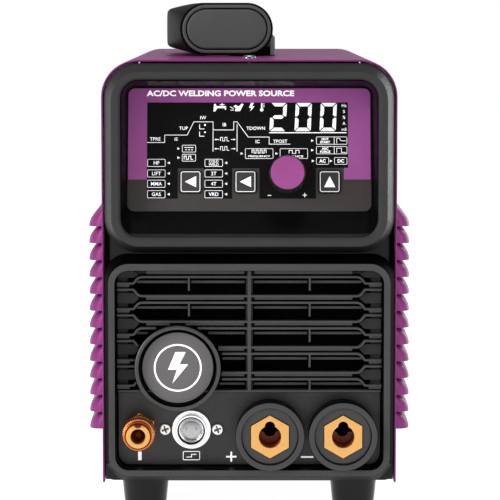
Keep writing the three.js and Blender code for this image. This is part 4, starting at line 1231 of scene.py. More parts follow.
piece("air_grille_ribs", build_grille_ribs(), GRILLE_PLASTIC, "air_grille")
piece("air_grille_strips", build_grille_strips(), GRILLE_PLASTIC, "air_grille")
piece("air_grille_blocks", build_grille_blocks(), GRILLE_SHADE, "air_grille")
piece("air_grille_bars", build_grille_bars(), GRILLE_PLASTIC, "air_grille")
# A matt black sheet behind the grille, which paints the shade inside the case.
shadow_sheet = Solid().prism(rounded_box(-77.6, 77.6, 74, 145.4, 4), 17.4, 19.4, 0.4)
piece("air_grille_shadow_sheet", shadow_sheet, PAINTED_SHADE_BLACK)


# ------------------------------------------------------------------ connector panel

DINSE_X = [middle(name)[0] for name in ("dinse_collar_left", "dinse_collar_right")]
DINSE_Z = 48.2
GAS_X, GAS_Z = middle("gas_coupler_sleeve")
TORCH_X, TORCH_Z = middle("torch_socket_shell")
SCREW_OFFSET = 15.65

panel_cuts = [circle(x, DINSE_Z, 9.2, 40) for x in DINSE_X]
panel_cuts += [circle(GAS_X, GAS_Z, 6, 32), circle(TORCH_X, TORCH_Z, 9.7, 40)]
panel_cuts += [circle(TORCH_X + side * SCREW_OFFSET, TORCH_Z, 1.9, 16) for side in (-1, 1)]
face = Solid().plate(rounded_box(-78.4, 78.4, 28.2, 72.3, 1.5, 7.4), panel_cuts, 15, 17.6, 0.5)
piece("connector_panel_face", face, PANEL_PLASTIC, "connector_panel")

signs = Solid()
ON_FACE = {"place": upright, "front": 14.9, "back": 15.05}
stroke(signs, [(-65.5, 31.1), (-65.5, 36.3)], 2.1, **ON_FACE)
frame_box(signs, -39.8, -29.5, 31.1, 36.6, 0.45, 0.9, **ON_FACE)
stroke(signs, [(-37.6, 33.0), (-34.6, 33.0), (-34.6, 34.6), (-31.7, 34.6)], 0.5, **ON_FACE)
stroke(signs, [(-13.9, 33.2), (-7.7, 33.2)], 1.0, **ON_FACE)
stroke(signs, [(-10.8, 30.2), (-10.8, 36.2)], 1.0, **ON_FACE)
stroke(signs, [(30.9, 33.0), (38.3, 33.0)], 1.0, **ON_FACE)
piece("connector_panel_signs", signs, INK)

# Badge: a deep gloss ring round a set-back satin disc with a plain flash.
RING_PROFILE = [
    (25.5, 14.6), (25.5, 1.3), (25.35, 0.6), (24.9, 0.25), (24.4, 0.2), (23.5, 0.25), (23.15, 0.6),
    (23.0, 1.2), (22.9, 9), (22.3, 9.6), (22.3, 14.6),
]
# The ring's sideways faces take near-black: painted shade.
piece("badge_ring_shell", Solid().turned(RING_PROFILE, BADGE_X, BADGE_Z, 128, ring=True), RING_BLACK,
      "badge_ring", sides=GLOSS_BLACK_AND_SHADE)
DISC_PROFILE = [(0.05, 4.6), (20.6, 4.6), (21.05, 4.8), (21.2, 5.2), (21.2, 8.4), (0.05, 8.4)]
piece("badge_disc_face", Solid().turned(DISC_PROFILE, BADGE_X, BADGE_Z, 128), BADGE_SILVER,
      "badge_disc")
emblem = Solid()
shape(emblem, bolt_outline(BADGE_X, BADGE_Z, 9.4), place=upright, front=4.35, back=4.65)
emblem.plate(circle(BADGE_X, BADGE_Z, 14.2, 96), [circle(BADGE_X, BADGE_Z, 13.2, 96)], 4.4, 4.65, 0.05)
piece("badge_emblem", emblem, INK)

COLLAR_PROFILE = [
    (17.0, -4.8), (17.3, -5), (19.7, -5), (20.2, -4.85), (20.5, -4.4), (20.5, -3.4), (20, 14.7),
    (13.5, 14.7), (13.5, -2.4), (16.5, -2.4), (16.9, -2.8),
]
COLLAR_SHADOW_PROFILE = [(16.0, -2.9), (16.95, -2.9), (16.95, -2.3), (16.0, -2.3)]
for side, x in zip(("left", "right"), DINSE_X):
    # The collar's sideways faces take near-black: painted shade. Its face plate sits a little high and left,
    # so that the darker ring below it shows as a painted shadow crescent at the bottom.
    collar = Solid().turned(COLLAR_PROFILE, x, DINSE_Z, 128, ring=True)
    piece(f"dinse_collar_{side}_shell", collar, DINSE_BLACK, f"dinse_collar_{side}",
          sides=GLOSS_BLACK_AND_SHADE)
    seat = hexagon(x, DINSE_Z, 22.8)
    face = Solid().plate(circle(x - 0.1, DINSE_Z + 0.3, 16.55, 96), [seat], -3.1, -1, 0.3)
    piece(f"dinse_collar_{side}_face", face, DINSE_BLACK, f"dinse_collar_{side}")
    gap = Solid().turned(COLLAR_SHADOW_PROFILE, x, DINSE_Z, 96, ring=True)
    piece(f"dinse_collar_{side}_gap", gap, MOLDING_SHADED_UNDER)


def keyed_bore(x, z, bore, key, key_offset):
    """A round bore with a smaller round key slot that opens out of its top."""
    low = (bore ** 2 - key ** 2 + key_offset ** 2) / (2 * key_offset)
    meet = math.acos(low / bore)
    key_angle = math.atan2(low - key_offset, math.sqrt(bore ** 2 - low ** 2))
    around = arc(x, z, bore, QUARTER + meet, 5 * QUARTER - meet, 56)
    slot = arc(x, z + key_offset, key, key_angle, 2 * QUARTER - key_angle, 20)
    return around + slot[1:-1]


THREAD_PITCH = 1.5


def build_dinse_insert(x):
    """The hexagonal front with its keyed bore, and the threaded stud behind the panel."""
    solid = Solid()
    outer = filleted(hexagon(x, DINSE_Z, 22.4), 0.35, steps=2)
    solid.plate(outer, [keyed_bore(x, DINSE_Z, 6.6, 3, 6.1)], -4.2, 13, 0.25)
    stud = [(6.7, 12)]
    depth = 13.0
    while depth < 37.5:
        stud += [(8.8, depth), (8.8, depth + 0.4), (8.1, depth + 0.75), (8.1, depth + 1.1)]
        depth += THREAD_PITCH
    stud += [(8.0, 38), (0.5, 38), (0.5, 31), (6.7, 31)]
    return solid.turned(stud, x, DINSE_Z, 96, ring=True)


for side, x in zip(("left", "right"), DINSE_X):
    piece(f"dinse_insert_{side}_brass", build_dinse_insert(x), BRASS, f"dinse_insert_{side}")


def lower_band(x, z, radius, wall, reach):
    """The lower part of a ring's outline, reach being how far its ends stand above the middle."""
    rise = math.asin(reach / radius)
    outer = arc(x, z, radius, 2 * QUARTER - rise, 4 * QUARTER + rise, 40)
    inner = arc(x, z, radius - wall, 2 * QUARTER - rise, 4 * QUARTER + rise, 40)
    return outer + inner[::-1]


# Inside each bore, a darker brass band on the lower wall and a seat with a curved top edge paint the lit and
# shaded brass. A black disc at the end paints the shadow deep in the bore.
BORE_SHADOW_PROFILE = [(0.05, 24.6), (5.2, 24.6), (6.3, 25.4), (6.45, 26), (6.45, 31), (0.05, 31)]
for side, x in zip(("left", "right"), DINSE_X):
    lining = Solid().prism(lower_band(x, DINSE_Z, 6.66, 0.1, 1.0), -3.4, 14, 0.02)
    seat = arc(x, DINSE_Z, 6.5, 2 * QUARTER - 0.1, 4 * QUARTER + 0.1, 40)
    seat += arc(x, DINSE_Z + 1.2, 3.6, -0.2, -2 * QUARTER + 0.2, 16)
    lining.prism(seat, 13, 15, 0.3)
    piece(f"dinse_bore_{side}", lining, SHADED_BRASS)
    piece(f"dinse_bore_shadow_{side}", Solid().turned(BORE_SHADOW_PROFILE, x, DINSE_Z, 48), PAINTED_SHADE_BLACK)
# The gas coupler's bore, valve and the floor of its notch take darker brass and brown: painted shade.
gas_wall = [(4.2, -16.8), (4.32, -17.2), (4.34, 2.8), (4.1, 2.8), (4.1, -16)]
piece("gas_coupler_bore", Solid().turned(gas_wall, GAS_X, GAS_Z, 48, ring=True), SHADED_BRASS)
valve = [(0.05, -12.6), (1.5, -12.4), (2.6, -11.2), (2.9, -10.2), (4.05, -10), (4.05, -8), (0.05, -8)]
piece("gas_coupler_valve", Solid().turned(valve, GAS_X, GAS_Z, 48), BORE_SHADE_BROWN)

# Gas coupler: a hexagon behind, a smooth front ring and a knurled sleeve that slides back.
body = Solid().prism(filleted(hexagon(GAS_X, GAS_Z, 17), 0.5, steps=2), 9, 14.7, 0.6, back_edge=0.3)
CORE_PROFILE = [
    (2.4, 40), (2.4, 12), (4.4, 12), (4.4, -18.2), (6.2, -18.2), (6.2, 10), (5.6, 14), (5.6, 32), (3.8, 32),
    (3.8, 40),
]
body.turned(CORE_PROFILE, GAS_X, GAS_Z, 72, ring=True)
notch = arc(GAS_X, GAS_Z + 7.6, 2.5, -0.25, 0.25 - 2 * QUARTER, 10)
lip = arc(GAS_X, GAS_Z, 7.1, QUARTER + 0.36, 5 * QUARTER - 0.36, 72)
body.plate(lip + notch, [circle(GAS_X, GAS_Z, 4.35, 64)], -19, -17.9, 0.3)
notch_floor = notch[::-1] + arc(GAS_X, GAS_Z, 7.05, QUARTER - 0.33, QUARTER + 0.33, 8)
piece("gas_coupler_notch", Solid().prism(notch_floor, -18.5, -18.25, 0.02), BORE_SHADE_BROWN)
piece("gas_coupler_core", body, BRASS, "gas_coupler_body")


SLEEVE_PROFILE = [
    (6.5, 5.7), (6.5, -16.4), (7.4, -16.6), (7.5, -17.4), (8.0, -17.8), (8.5, -17.6), (8.7, -16.9),
    (8.7, -14.4), (8.4, -13.9), (8.4, -12.6), (9.4, -12.1), (9.45, -11.6), (9.45, -3.2), (9.3, -2.7),
    (8.5, -2.2), (8.5, -1.0), (9.3, -0.6), (9.45, 0), (9.45, 4.6), (9.1, 5.3), (8.5, 5.7),
]
piece("gas_coupler_sleeve_knurled",
      Solid().turned(SLEEVE_PROFILE, GAS_X, GAS_Z, 264, ring=True, flutes=fluted(44, 0.035, 9.2)),
      COPPER_BRASS, "gas_coupler_sleeve", body="gas_sleeve", sharp=50)

# Torch socket: plated flange and barrel, with a pinned insert.
SHELL_PROFILE = [
    (8.2, 27), (8.2, 7.4), (8.35, 7.05), (8.5, 7), (9.2, 7), (9.35, 7.15), (9.4, 7.5), (9.4, 12.1),
    (11.2, 12.1), (11.55, 12.25), (11.7, 12.7), (11.7, 14.7), (9.4, 14.7), (9.4, 27),
]
piece("torch_socket_shell_plated", Solid().turned(SHELL_PROFILE, TORCH_X, TORCH_Z, 96, ring=True), NICKEL,
      "torch_socket_shell")
cup = [(6.2, 10.6), (6.5, 9.4), (6.9, 9.1), (7.3, 9.2), (7.45, 9.6), (7.45, 27), (6.2, 27)]
piece("torch_socket_insert_cup", Solid().turned(cup, TORCH_X, TORCH_Z, 96, ring=True), NICKEL,
      "torch_socket_insert")
disc = [(0.05, 10.2), (2.0, 10.25), (4.2, 10.45), (5.6, 10.8), (6.3, 11.2), (6.3, 26), (0.05, 26)]
piece("torch_socket_insert_disc", Solid().turned(disc, TORCH_X, TORCH_Z, 96), SATIN_NICKEL,
      "torch_socket_insert")
pins = Solid()
for side in (-1, 1):
    x = TORCH_X + 3 * side
    pins.prism(rounded_box(x - 0.35, x + 0.35, TORCH_Z - 0.1, TORCH_Z + 2.0, 0.3, steps=4), 9.9, 13, 0.1)
piece("torch_socket_pins", pins, DARK_STEEL)

HEAD_RADIUS, HEAD_FRONT, HEAD_BACK = 3.3, 12.6, 14.7
SHANK_PROFILE = [(0.05, 14.6), (1.6, 14.6), (1.6, 19.5), (1.2, 19.8), (0.05, 19.8)]
RECESS_FLOOR = HEAD_FRONT + RECESS_SHARE * (HEAD_BACK - HEAD_FRONT) - 0.03
for side, x in (("left", TORCH_X - SCREW_OFFSET), ("right", TORCH_X + SCREW_OFFSET)):
    head = phillips_head(Solid(), x, TORCH_Z, HEAD_RADIUS, HEAD_FRONT, HEAD_BACK, upright)
    head.turned(SHANK_PROFILE, x, TORCH_Z, 20)
    piece(f"panel_screw_{side}_head", head, STEEL, f"panel_screw_{side}")
    # The floor behind the cross is gray instead of steel: painted shade in the recess.
    recess = cylinder(Solid(), x, TORCH_Z, HEAD_RADIUS * 0.7, RECESS_FLOOR, HEAD_BACK, 24)
    piece(f"panel_screw_{side}_recess", recess, RIM_GRAY_LIT_AND_SHADE)


# ------------------------------------------------------------------ feet and handle

FOOT_TOP = span("foot_front_left")[2][1]
FOOT_PROFILE = [
    (0.05, 1.2), (6.0, 1.2), (6.6, 0.3), (7.4, 0), (11.5, 0), (12.3, 0.25), (12.75, 0.9), (12.9, 1.8),
    (13.9, 12), (14.6, 16.6), (14.7, 17.3), (14.3, FOOT_TOP), (0.05, FOOT_TOP),
]
for name in ("foot_front_left", "foot_front_right", "foot_rear_left", "foot_rear_right"):
    (x0, x1), (d0, d1), _ = span(name)
    tread = Solid().turned(FOOT_PROFILE, (x0 + x1) / 2, (d0 + d1) / 2, 96, standing)
    piece(name + "_tread", tread, RUBBER, name, sharp=55)


PIVOT_X, PIVOT_Z = middle("hinge_pin_front")
HANDLE_FRONT, HANDLE_BACK = span("handle_grip")[1]
LEG = 24  # the depth of each leg
LEG_ROUND = 1.4  # the depth over which a leg's end face is rounded
LEG_LEFT, LEG_RIGHT, LEG_HEIGHT = -43.7, 15.0, 33.2
GRIP_INSIDE = -27.0


def resampled(points, count):
    """Points spaced evenly along a polyline."""
    lengths = [0.0]
    for a, b in zip(points, points[1:]):
        lengths.append(lengths[-1] + math.dist(a, b))
    result = []
    k = 0
    for i in range(count):
        target = lengths[-1] * i / (count - 1)
        while k < len(lengths) - 2 and lengths[k + 1] < target:
            k += 1
        share = (target - lengths[k]) / (lengths[k + 1] - lengths[k])
        a, b = points[k], points[k + 1]
        result.append((a[0] + (b[0] - a[0]) * share, a[1] + (b[1] - a[1]) * share))
    return result


HALF_HEIGHT = LEG_HEIGHT / 2
GRIP_OUTSIDE = [
    (-32, HALF_HEIGHT), (-38, HALF_HEIGHT - 0.4), (-46, 14.6), (-52.6, 12.9), (-54.6, 11.8), (-55, 9.8),
    (-55.05, 0), (-55, -9.8), (-54.6, -11.8), (-52.6, -12.9), (-46, -14.6), (-38, 0.4 - HALF_HEIGHT),
    (-32, -HALF_HEIGHT),
]
OUTSIDE_STEPS = 33


def outside_of_handle(bulge):
    """The left-hand side of the section, from a half round at the legs to the flat grip in the middle."""
    centre = LEG_LEFT + HALF_HEIGHT
    leg = arc(centre, 0, HALF_HEIGHT, QUARTER, 3 * QUARTER, OUTSIDE_STEPS - 1)
    grip = resampled(filleted(GRIP_OUTSIDE, 3, closed=False, steps=5), OUTSIDE_STEPS)
    return [(a[0] + (b[0] - a[0]) * bulge, a[1] + (b[1] - a[1]) * bulge) for a, b in zip(leg, grip)]


def handle_loop(bulge, right, right_radius, shrink, depth):
    """One section of the handle, from its lower right corner round to its rounded left side."""
    half = HALF_HEIGHT - shrink
    points = arc(right - right_radius, right_radius - half, right_radius, -QUARTER, 0, 10)
    points += arc(right - right_radius, half - right_radius, right_radius, 0, QUARTER, 10)
    scale = half / HALF_HEIGHT
    outside = [(x + shrink * (1 - abs(z) / HALF_HEIGHT), z * scale) for x, z in outside_of_handle(bulge)]
    return [upright(x, depth, PIVOT_Z + z) for x, z in points + outside]


def build_handle():
    """Two solid legs with a bulging grip between them, skinned from front to back."""
    length = HANDLE_BACK - HANDLE_FRONT
    half = [0, 0.25, 0.7, LEG_ROUND, 2.4, 4, 8, 14, 20, LEG - 1.5, LEG - 0.6]
    half += [LEG + past for past in (0, 0.1, 0.5, 1.4, 2.6, 4, 8, 16, 28, 42, 58)]
    half.append(length / 2)
    depths = half + [length - depth for depth in reversed(half[:-1])]
    loops = []
    for depth in depths:
        from_end = min(depth, length - depth)
        bulge = math.sin(math.pi * depth / length) ** 0.85
        if from_end <= LEG:
            edge = 1 - math.sqrt(1 - (1 - min(1, from_end / LEG_ROUND)) ** 2)
            round_off = 0.7 * max(0.0, (from_end - LEG + 1.5) / 1.5) ** 2
            right, radius = LEG_RIGHT - edge - round_off, HALF_HEIGHT - edge - round_off - 0.1
            loops.append(handle_loop(bulge, right, radius, edge, HANDLE_FRONT + depth))
        else:
            fillet = 2.6 * (1 - min(1.0, (from_end - LEG - 0.1) / 3.9)) ** 2
            loops.append(handle_loop(bulge, GRIP_INSIDE + fillet, 4.9, 0, HANDLE_FRONT + depth))
    return Solid().loft(loops)


piece("handle_grip_molded", build_handle(), HANDLE_DARK_AND_SHADE, "handle_grip", body="handle",
      sharp=45)


def cap_ring(inset, depth, near):
    """The oval of a leg's end drawn in by inset, at a depth behind near."""
    left, right = LEG_LEFT + inset, LEG_RIGHT - inset
    radius = LEG_HEIGHT / 2 - inset
    points = rounded_box(left, right, PIVOT_Z - radius, PIVOT_Z + radius, radius - 0.05, steps=14)
    return [upright(x, near + depth, z) for x, z in points]


def build_cap(outer, inward):
    """The oval on a leg's end: outer band, groove, then a plateau with a soft edge. inward is 1 or -1."""
    steps = [
        (1.2, 2.2), (1.3, 0.9), (1.5, 0.4), (1.9, 0.2), (3.0, 0.2), (3.3, 0.4), (3.4, 1.5), (4.1, 1.5),
        (4.25, 0.6), (4.6, 0.15), (5.4, 0.0),
    ]
    return Solid().loft([cap_ring(inset, inward * depth, outer) for inset, depth in steps])


def build_cap_shade_strips(outer, inward):
    """Dark strips at the cap's outline and in the bottom of its groove, painted shade in these creases."""
    solid = Solid()
    for near, far, depth in ((0.5, 1.32, 1.5), (3.42, 4.08, 1.35)):
        rows = ((near, depth), (near, depth + 0.4), (far, depth + 0.4), (far, depth))
        solid.loft([cap_ring(inset, inward * level, outer) for inset, level in rows], ring=True)
    return solid


for end, inward in (("front", 1), ("rear", -1)):
    low, high = span(f"handle_cap_{end}")[1]
    outer = low if inward > 0 else high
    piece(f"handle_cap_{end}_oval", build_cap(outer, inward), HANDLE_GRAY,
          f"handle_cap_{end}", body="handle", sharp=50)
    piece(f"handle_cap_{end}_shade_strips", build_cap_shade_strips(outer, inward), PAINTED_SHADE_BLACK,
          body="handle")

BASE_FRONT, BASE_BACK = span("handle_base")[1]
# The saddle takes the near-black handle plastic, which here paints the shade under the handle.
base = Solid()
base.block(-13, 16.2, BASE_FRONT + 0.4, BASE_BACK - 0.4, 270.4, 276, 1.2)
for start in (BASE_FRONT + 0.4, BASE_BACK - 9.4):
    lug = [(PIVOT_X - 10.5, 275), (PIVOT_X + 10.5, 275)]
    lug += arc(PIVOT_X, PIVOT_Z, 10.5, 0, 2 * QUARTER, 32)
    base.plate(lug, [circle(PIVOT_X, PIVOT_Z, 4.15, 40)], start, start + 9, 0.5)
piece("handle_base_saddle", base, HANDLE_DARK_AND_SHADE, "handle_base")
# The fence takes a lighter copy of the handle's gray: painted light on its face.
FENCE_SECTION = [(13.3, 270.4), (16.5, 270.4), (16.5, 281.6), (15.4, 283.4), (13.3, 283.4)]
fence = Solid().prism(filleted(FENCE_SECTION, 0.5, steps=3), BASE_FRONT, BASE_BACK, 0.5, back_edge=0.5)
piece("handle_base_fence", fence, FENCE_GRAY_LIT, "handle_base")


# ------------------------------------------------------------------ rear end

REAR_RIM = span("rear_frame")[1][1]
REAR_START = span("rear_frame")[1][0]
REAR_FRAME_SECTION = [
    (upright_loop(82.5, 22, 264, 17, REAR_RIM, 10), 1.4),
    (upright_loop(86.6, 17.9, 268.3, 21, REAR_START, 13), 0.5),
    (upright_loop(84.7, 19.8, 266.4, 19, REAR_START, 12), 0.4),
    (upright_loop(81.4, 23.2, 262.9, 16, REAR_RIM - 3, 9), 0.5),
    (upright_loop(79.2, 25.2, 260.8, 13.7, REAR_RIM - 3, 7.5), 0.5),
    (upright_loop(78.7, 25.8, 260.2, 13.2, REAR_START, 7), 0.3),
    (upright_loop(76.9, 27.6, 258.4, 11.5, REAR_START, 6), 0.3),
    (upright_loop(77.5, 27, 259, 12, REAR_RIM, 6), 1.0),
]


def flipped(x, depth, z):
    """A place on the rear panel, where depth is counted forwards from the case's back."""
    return upright(x, -depth, z)


FAN_Z = 165
PANEL_BACK = span("rear_panel")[1][1]
PANEL_INSIDE = span("rear_panel")[1][0]
SWITCH_X, SWITCH_Z = middle("switch_housing")
GLAND_X, GLAND_Z = middle("cable_gland")
INLET_X, INLET_Z = -20, 50
STUD_X, STUD_Z = middle("ground_stud")

rear_holes = [
    circle(0, FAN_Z, 57, 96), circle(GLAND_X, GLAND_Z, 10.1, 40), circle(INLET_X, INLET_Z, 5.4, 32),
    circle(STUD_X, STUD_Z, 4.4, 32), box_outline(SWITCH_X - 12, SWITCH_X + 12, SWITCH_Z - 15, SWITCH_Z + 15),
]
rear_outline = rounded_box(-86.2, 86.2, 18.2, 267.8, 20.5, 5)
rear = Solid().plate(rear_outline, rear_holes, -PANEL_BACK, -PANEL_INSIDE, 0.4, flipped)
piece("rear_panel_sheet", rear, REAR_PAINT, "rear_panel")
piece("rear_frame_shell", molded_ring(REAR_FRAME_SECTION), MOLDING, "rear_frame")


def tube(solid, path, radius, steps=12, closed=False):
    """A round wire along a path of points in the room."""
    loops = []
    count = len(path)
    for i, point in enumerate(path):
        before = path[i - 1] if closed or i else path[i]
        after = path[(i + 1) % count] if closed or i < count - 1 else path[i]
        along = (after - before).normalized()
        side = along.cross(Vector((0, 1, 0)))
        side = side.normalized() if side.length > 1e-4 else Vector((1, 0, 0))
        up = side.cross(along).normalized()
        loops.append([point + side * u + up * v for u, v in circle(0, 0, radius * MM, steps)])
    return solid.loft(loops, ring=closed)


SCREW_REACH = 73.5
DIAGONALS = [QUARTER * turn for turn in (0.5, 1.5, 2.5, 3.5)]


def build_guard():
    """Wire rings on four wire arms, with an eye at each corner screw."""
    solid = Solid()
    near, far = span("fan_guard")[1]
    ring_depth, arm_depth = far - 0.85, near + 0.9
    for radius in (12, 21, 30, 39, 48, 57):
        path = [upright(x, ring_depth, z) for x, z in circle(0, FAN_Z, radius, 96)]
        tube(solid, path, 0.8, 10, closed=True)
    for angle in DIAGONALS:
        direction = Vector((math.cos(angle), math.sin(angle)))
        path = [upright(direction.x * r, arm_depth, FAN_Z + direction.y * r) for r in (11.2, 30, 50, 70.5)]
        tube(solid, path, 0.85, 10)
        eye = direction * SCREW_REACH
        washer = [(2.2, near), (3.6, near), (3.6, near + 1.6), (2.2, near + 1.6)]
        solid.turned(washer, eye.x, FAN_Z + eye.y, 40, ring=True)
    return solid


def corner_screws():
    """The four screws that hold the fan and its guard."""
    solid = Solid()
    near = span("fan_guard")[1][0]
    for angle in DIAGONALS:
        x, z = SCREW_REACH * math.cos(angle), FAN_Z + SCREW_REACH * math.sin(angle)
        phillips_head(solid, x, z, 3.6, -near - 3.4, -near - 1.5, flipped)
        solid.turned([(0.05, near), (2.1, near), (2.1, near + 1.6), (0.05, near + 1.6)], x, z, 20)
    return solid


piece("fan_guard_wire", build_guard(), GUARD_WIRE, "fan_guard")
piece("fan_guard_screws", corner_screws(), STEEL)


def build_fan_frame():
    """Two square flanges joined by a duct, with the motor's seat held by four swept arms."""
    front, back = span("fan_frame")[1]
    solid = Solid()
    outline = rounded_box(-60, 60, FAN_Z - 60, FAN_Z + 60, 5)
    solid.plate(outline, [circle(0, FAN_Z, 58, 96)], -back, -(back - 4), 0.4, flipped)
    solid.plate(outline, [circle(0, FAN_Z, 58, 96)], front, front + 4, 0.4)
    duct = [(58, front + 0.3), (59.6, front + 0.3), (59.6, back - 0.3), (58, back - 0.3)]
    solid.turned(duct, 0, FAN_Z, 96, ring=True)
    motor_seat = [
        (3, back - 4), (17.4, back - 4), (18, back - 3.5), (18, back - 0.5), (17.2, back), (3, back),
    ]
    solid.turned(motor_seat, 0, FAN_Z, 64, ring=True)
    for turn in range(4):
        loops = []
        for i in range(9):
            radius = 16.5 + (58.6 - 16.5) * i / 8
            angle = turn * QUARTER + 0.35 * i / 8
            radial = Vector((math.cos(angle), math.sin(angle)))
            across = Vector((-radial.y, radial.x))
            loop = []
            for side, depth in ((-1.9, back - 3), (1.9, back - 3), (1.9, back - 0.2), (-1.9, back - 0.2)):
                point = radial * radius + across * side
                loop.append(upright(point.x, depth, FAN_Z + point.y))
            loops.append(loop)
        solid.loft(loops)
    return solid


# A blade's cambered section, as shares of its chord.
BLADE_SECTION = [
    (-0.5, 0.0), (-0.3, 0.07), (0, 0.11), (0.3, 0.08), (0.5, 0.01), (0.5, -0.03), (0.3, 0.02), (0, 0.045),
    (-0.3, 0.01), (-0.5, -0.03),
]


def build_impeller():
    """A hub with seven curved, twisted blades."""
    front, back = span("fan_impeller")[1]
    solid = Solid()
    hub = [
        (2.6, back), (2.6, back - 5.5), (15.8, back - 5.5), (16.8, back - 6.4), (17, back - 8),
        (17, front + 1.5), (16, front + 0.4), (0.05, front + 0.4), (0.05, back),
    ]
    solid.turned(hub, 0, FAN_Z, 72)
    centre = (front + back - 5) / 2
    for blade in range(7):
        loops = []
        for i in range(10):
            share = i / 9
            radius = 15.5 + (55.8 - 15.5) * share
            pitch = math.radians(46 - 20 * share)
            chord = 15 + 9 * share
            sweep = 0.35 * share
            section = []
            for along, thick in BLADE_SECTION:
                length, height = along * chord, thick * chord
                tangent = length * math.cos(pitch) - height * math.sin(pitch)
                depth = centre + length * math.sin(pitch) * 0.9 + height * math.cos(pitch)
                angle = 2 * math.pi * blade / 7 + sweep + tangent / radius
                section.append(upright(radius * math.cos(angle), depth, FAN_Z + radius * math.sin(angle)))
            loops.append(section)
        solid.loft(loops)
    return solid


piece("fan_frame_moulding", build_fan_frame(), FAN_BLACK, "fan_frame")
piece("fan_impeller_moulding", build_impeller(), FAN_BLACK, "fan_impeller", body="fan")

# Mains switch: bezel and box, with a rocker that tips on its trunnions.
(sx0, sx1), (sd0, sd1), (sz0, sz1) = span("switch_housing")
housing = Solid()
opening = rounded_box(SWITCH_X - 9.5, SWITCH_X + 9.5, SWITCH_Z - 12.5, SWITCH_Z + 12.5, 0.8, steps=3)
rim = rounded_box(sx0, sx1, sz0, sz1, 2.2, steps=6)
housing.plate(rim, [opening], -sd1, -(sd1 - 2.4), 0.7, flipped)
sleeve = rounded_box(SWITCH_X - 11.5, SWITCH_X + 11.5, SWITCH_Z - 14.5, SWITCH_Z + 14.5, 1.2, steps=3)
housing.plate(sleeve, [opening], -(sd1 - 2.2), -437, 0.2, flipped)
housing.block(SWITCH_X - 11.5, SWITCH_X + 11.5, sd0, 437.2, SWITCH_Z - 14.5, SWITCH_Z + 14.5, 0.6)
piece("switch_housing_case", housing, ROCKER_BLACK, "switch_housing")

ROCKER_PIVOT = 447
ROCKER_TILT = math.radians(12)


def on_rocker(x, out, up):
    """A place on the tilted rocker, out being backwards from its pivot and up along its face."""
    sine, cosine = math.sin(ROCKER_TILT), math.cos(ROCKER_TILT)
    return upright(SWITCH_X + x, ROCKER_PIVOT + out * cosine - up * sine, SWITCH_Z + up * cosine + out * sine)


def build_rocker():
    """The rocker's dished cap and its two trunnions."""
    side = [
        (-11, -3.5), (0, -6), (11, -3.5), (11, 5.6), (10.2, 6.1), (5, 4.9), (0, 4.1), (-5, 4.9),
        (-10.2, 6.1), (-11, 5.6),
    ]
    outline = filleted(side, 0.7, steps=3)
    loops = []
    for x, inset in ((-9, 0.5), (-8.85, 0.2), (-8.4, 0), (8.4, 0), (8.85, 0.2), (9, 0.5)):
        loops.append([on_rocker(x, out, up) for up, out in offset(outline, -inset)])
    solid = Solid().loft(loops)
    for direction in (-1, 1):
        trunnion = circle(0, 0, 1.45, 24)
        solid.loft([[on_rocker(direction * x, out, up) for up, out in trunnion] for x in (8.5, 10.9)])
    return solid


piece("power_rocker_cap", build_rocker(), ROCKER_BLACK, "power_rocker", body="rocker")
legend = Solid()
stroke(legend, [(0, 5.6), (0, 8.6)], 0.8, place=on_rocker, front=6.0, back=5.0)
dial = circle(0, -7, 1.9, 32)
legend.plate(dial, [circle(0, -7, 1.2, 32)], 5.1, 6.0, 0.05, on_rocker)
piece("power_rocker_marks", legend, INK, body="rocker")

# Cable gland, gas inlet and earth stud.
gland_front = span("cable_gland")[1][0]
gland = Solid()
start = PANEL_BACK + 0.3
gland.turned([
    (5.5, gland_front), (9.8, gland_front), (9.8, start), (11.0, start), (11.4, start + 5), (11.4, 459.6),
    (10.9, 460.8), (9.4, 463.6), (8.7, 465.6), (8.2, 466), (6.2, 466), (5.5, 465.4)],
    GLAND_X, GLAND_Z, 96, ring=True, flutes=fluted(12, 0.03, 11.2))
gland.plate(filleted(hexagon(GLAND_X, GLAND_Z, 24), 1.0, steps=3),
            [circle(GLAND_X, GLAND_Z, 9.9, 40)], -(start + 5), -start, 0.5, flipped)
piece("cable_gland_nut", gland, ROCKER_BLACK, "cable_gland")

inlet = Solid()
barbs = []
for depth in (463.4, 470.4, 477.4):
    barbs += [(4.6, depth), (4.55, depth + 0.6), (3.7, depth + 6.2)]
inlet.turned([
    (2.2, 436), (5.1, 436), (5.1, start), (6, start), (6, 462.6), (5.5, 463.1), *barbs, (3.2, 486.8),
    (2.9, 487), (2.2, 487)], INLET_X, INLET_Z, 64, ring=True)
inlet.plate(filleted(hexagon(INLET_X, INLET_Z, 17), 0.5, steps=3),
            [circle(INLET_X, INLET_Z, 5.9, 40)], -(start + 6), -start, 0.5, flipped)
piece("gas_inlet_barb", inlet, BRASS, "gas_inlet")

stud = Solid()
stud_profile = [(0.05, 443), (3.8, 443)]
depth = 443.5
while depth < 463.5:
    stud_profile += [(4.0, depth), (4.0, depth + 0.35), (3.5, depth + 0.75)]
    depth += 1.2
stud_profile += [(3.4, 464.4), (2.6, 465), (0.05, 465)]
stud.turned(stud_profile, STUD_X, STUD_Z, 40)
stud.plate(filleted(hexagon(STUD_X, STUD_Z, 13), 0.4, steps=3),
           [circle(STUD_X, STUD_Z, 3.6, 40)], -(start + 6.5), -start, 0.5, flipped)
piece("ground_stud_nut", stud, STEEL, "ground_stud")


# ------------------------------------------------------------------ CAD nodes that stay

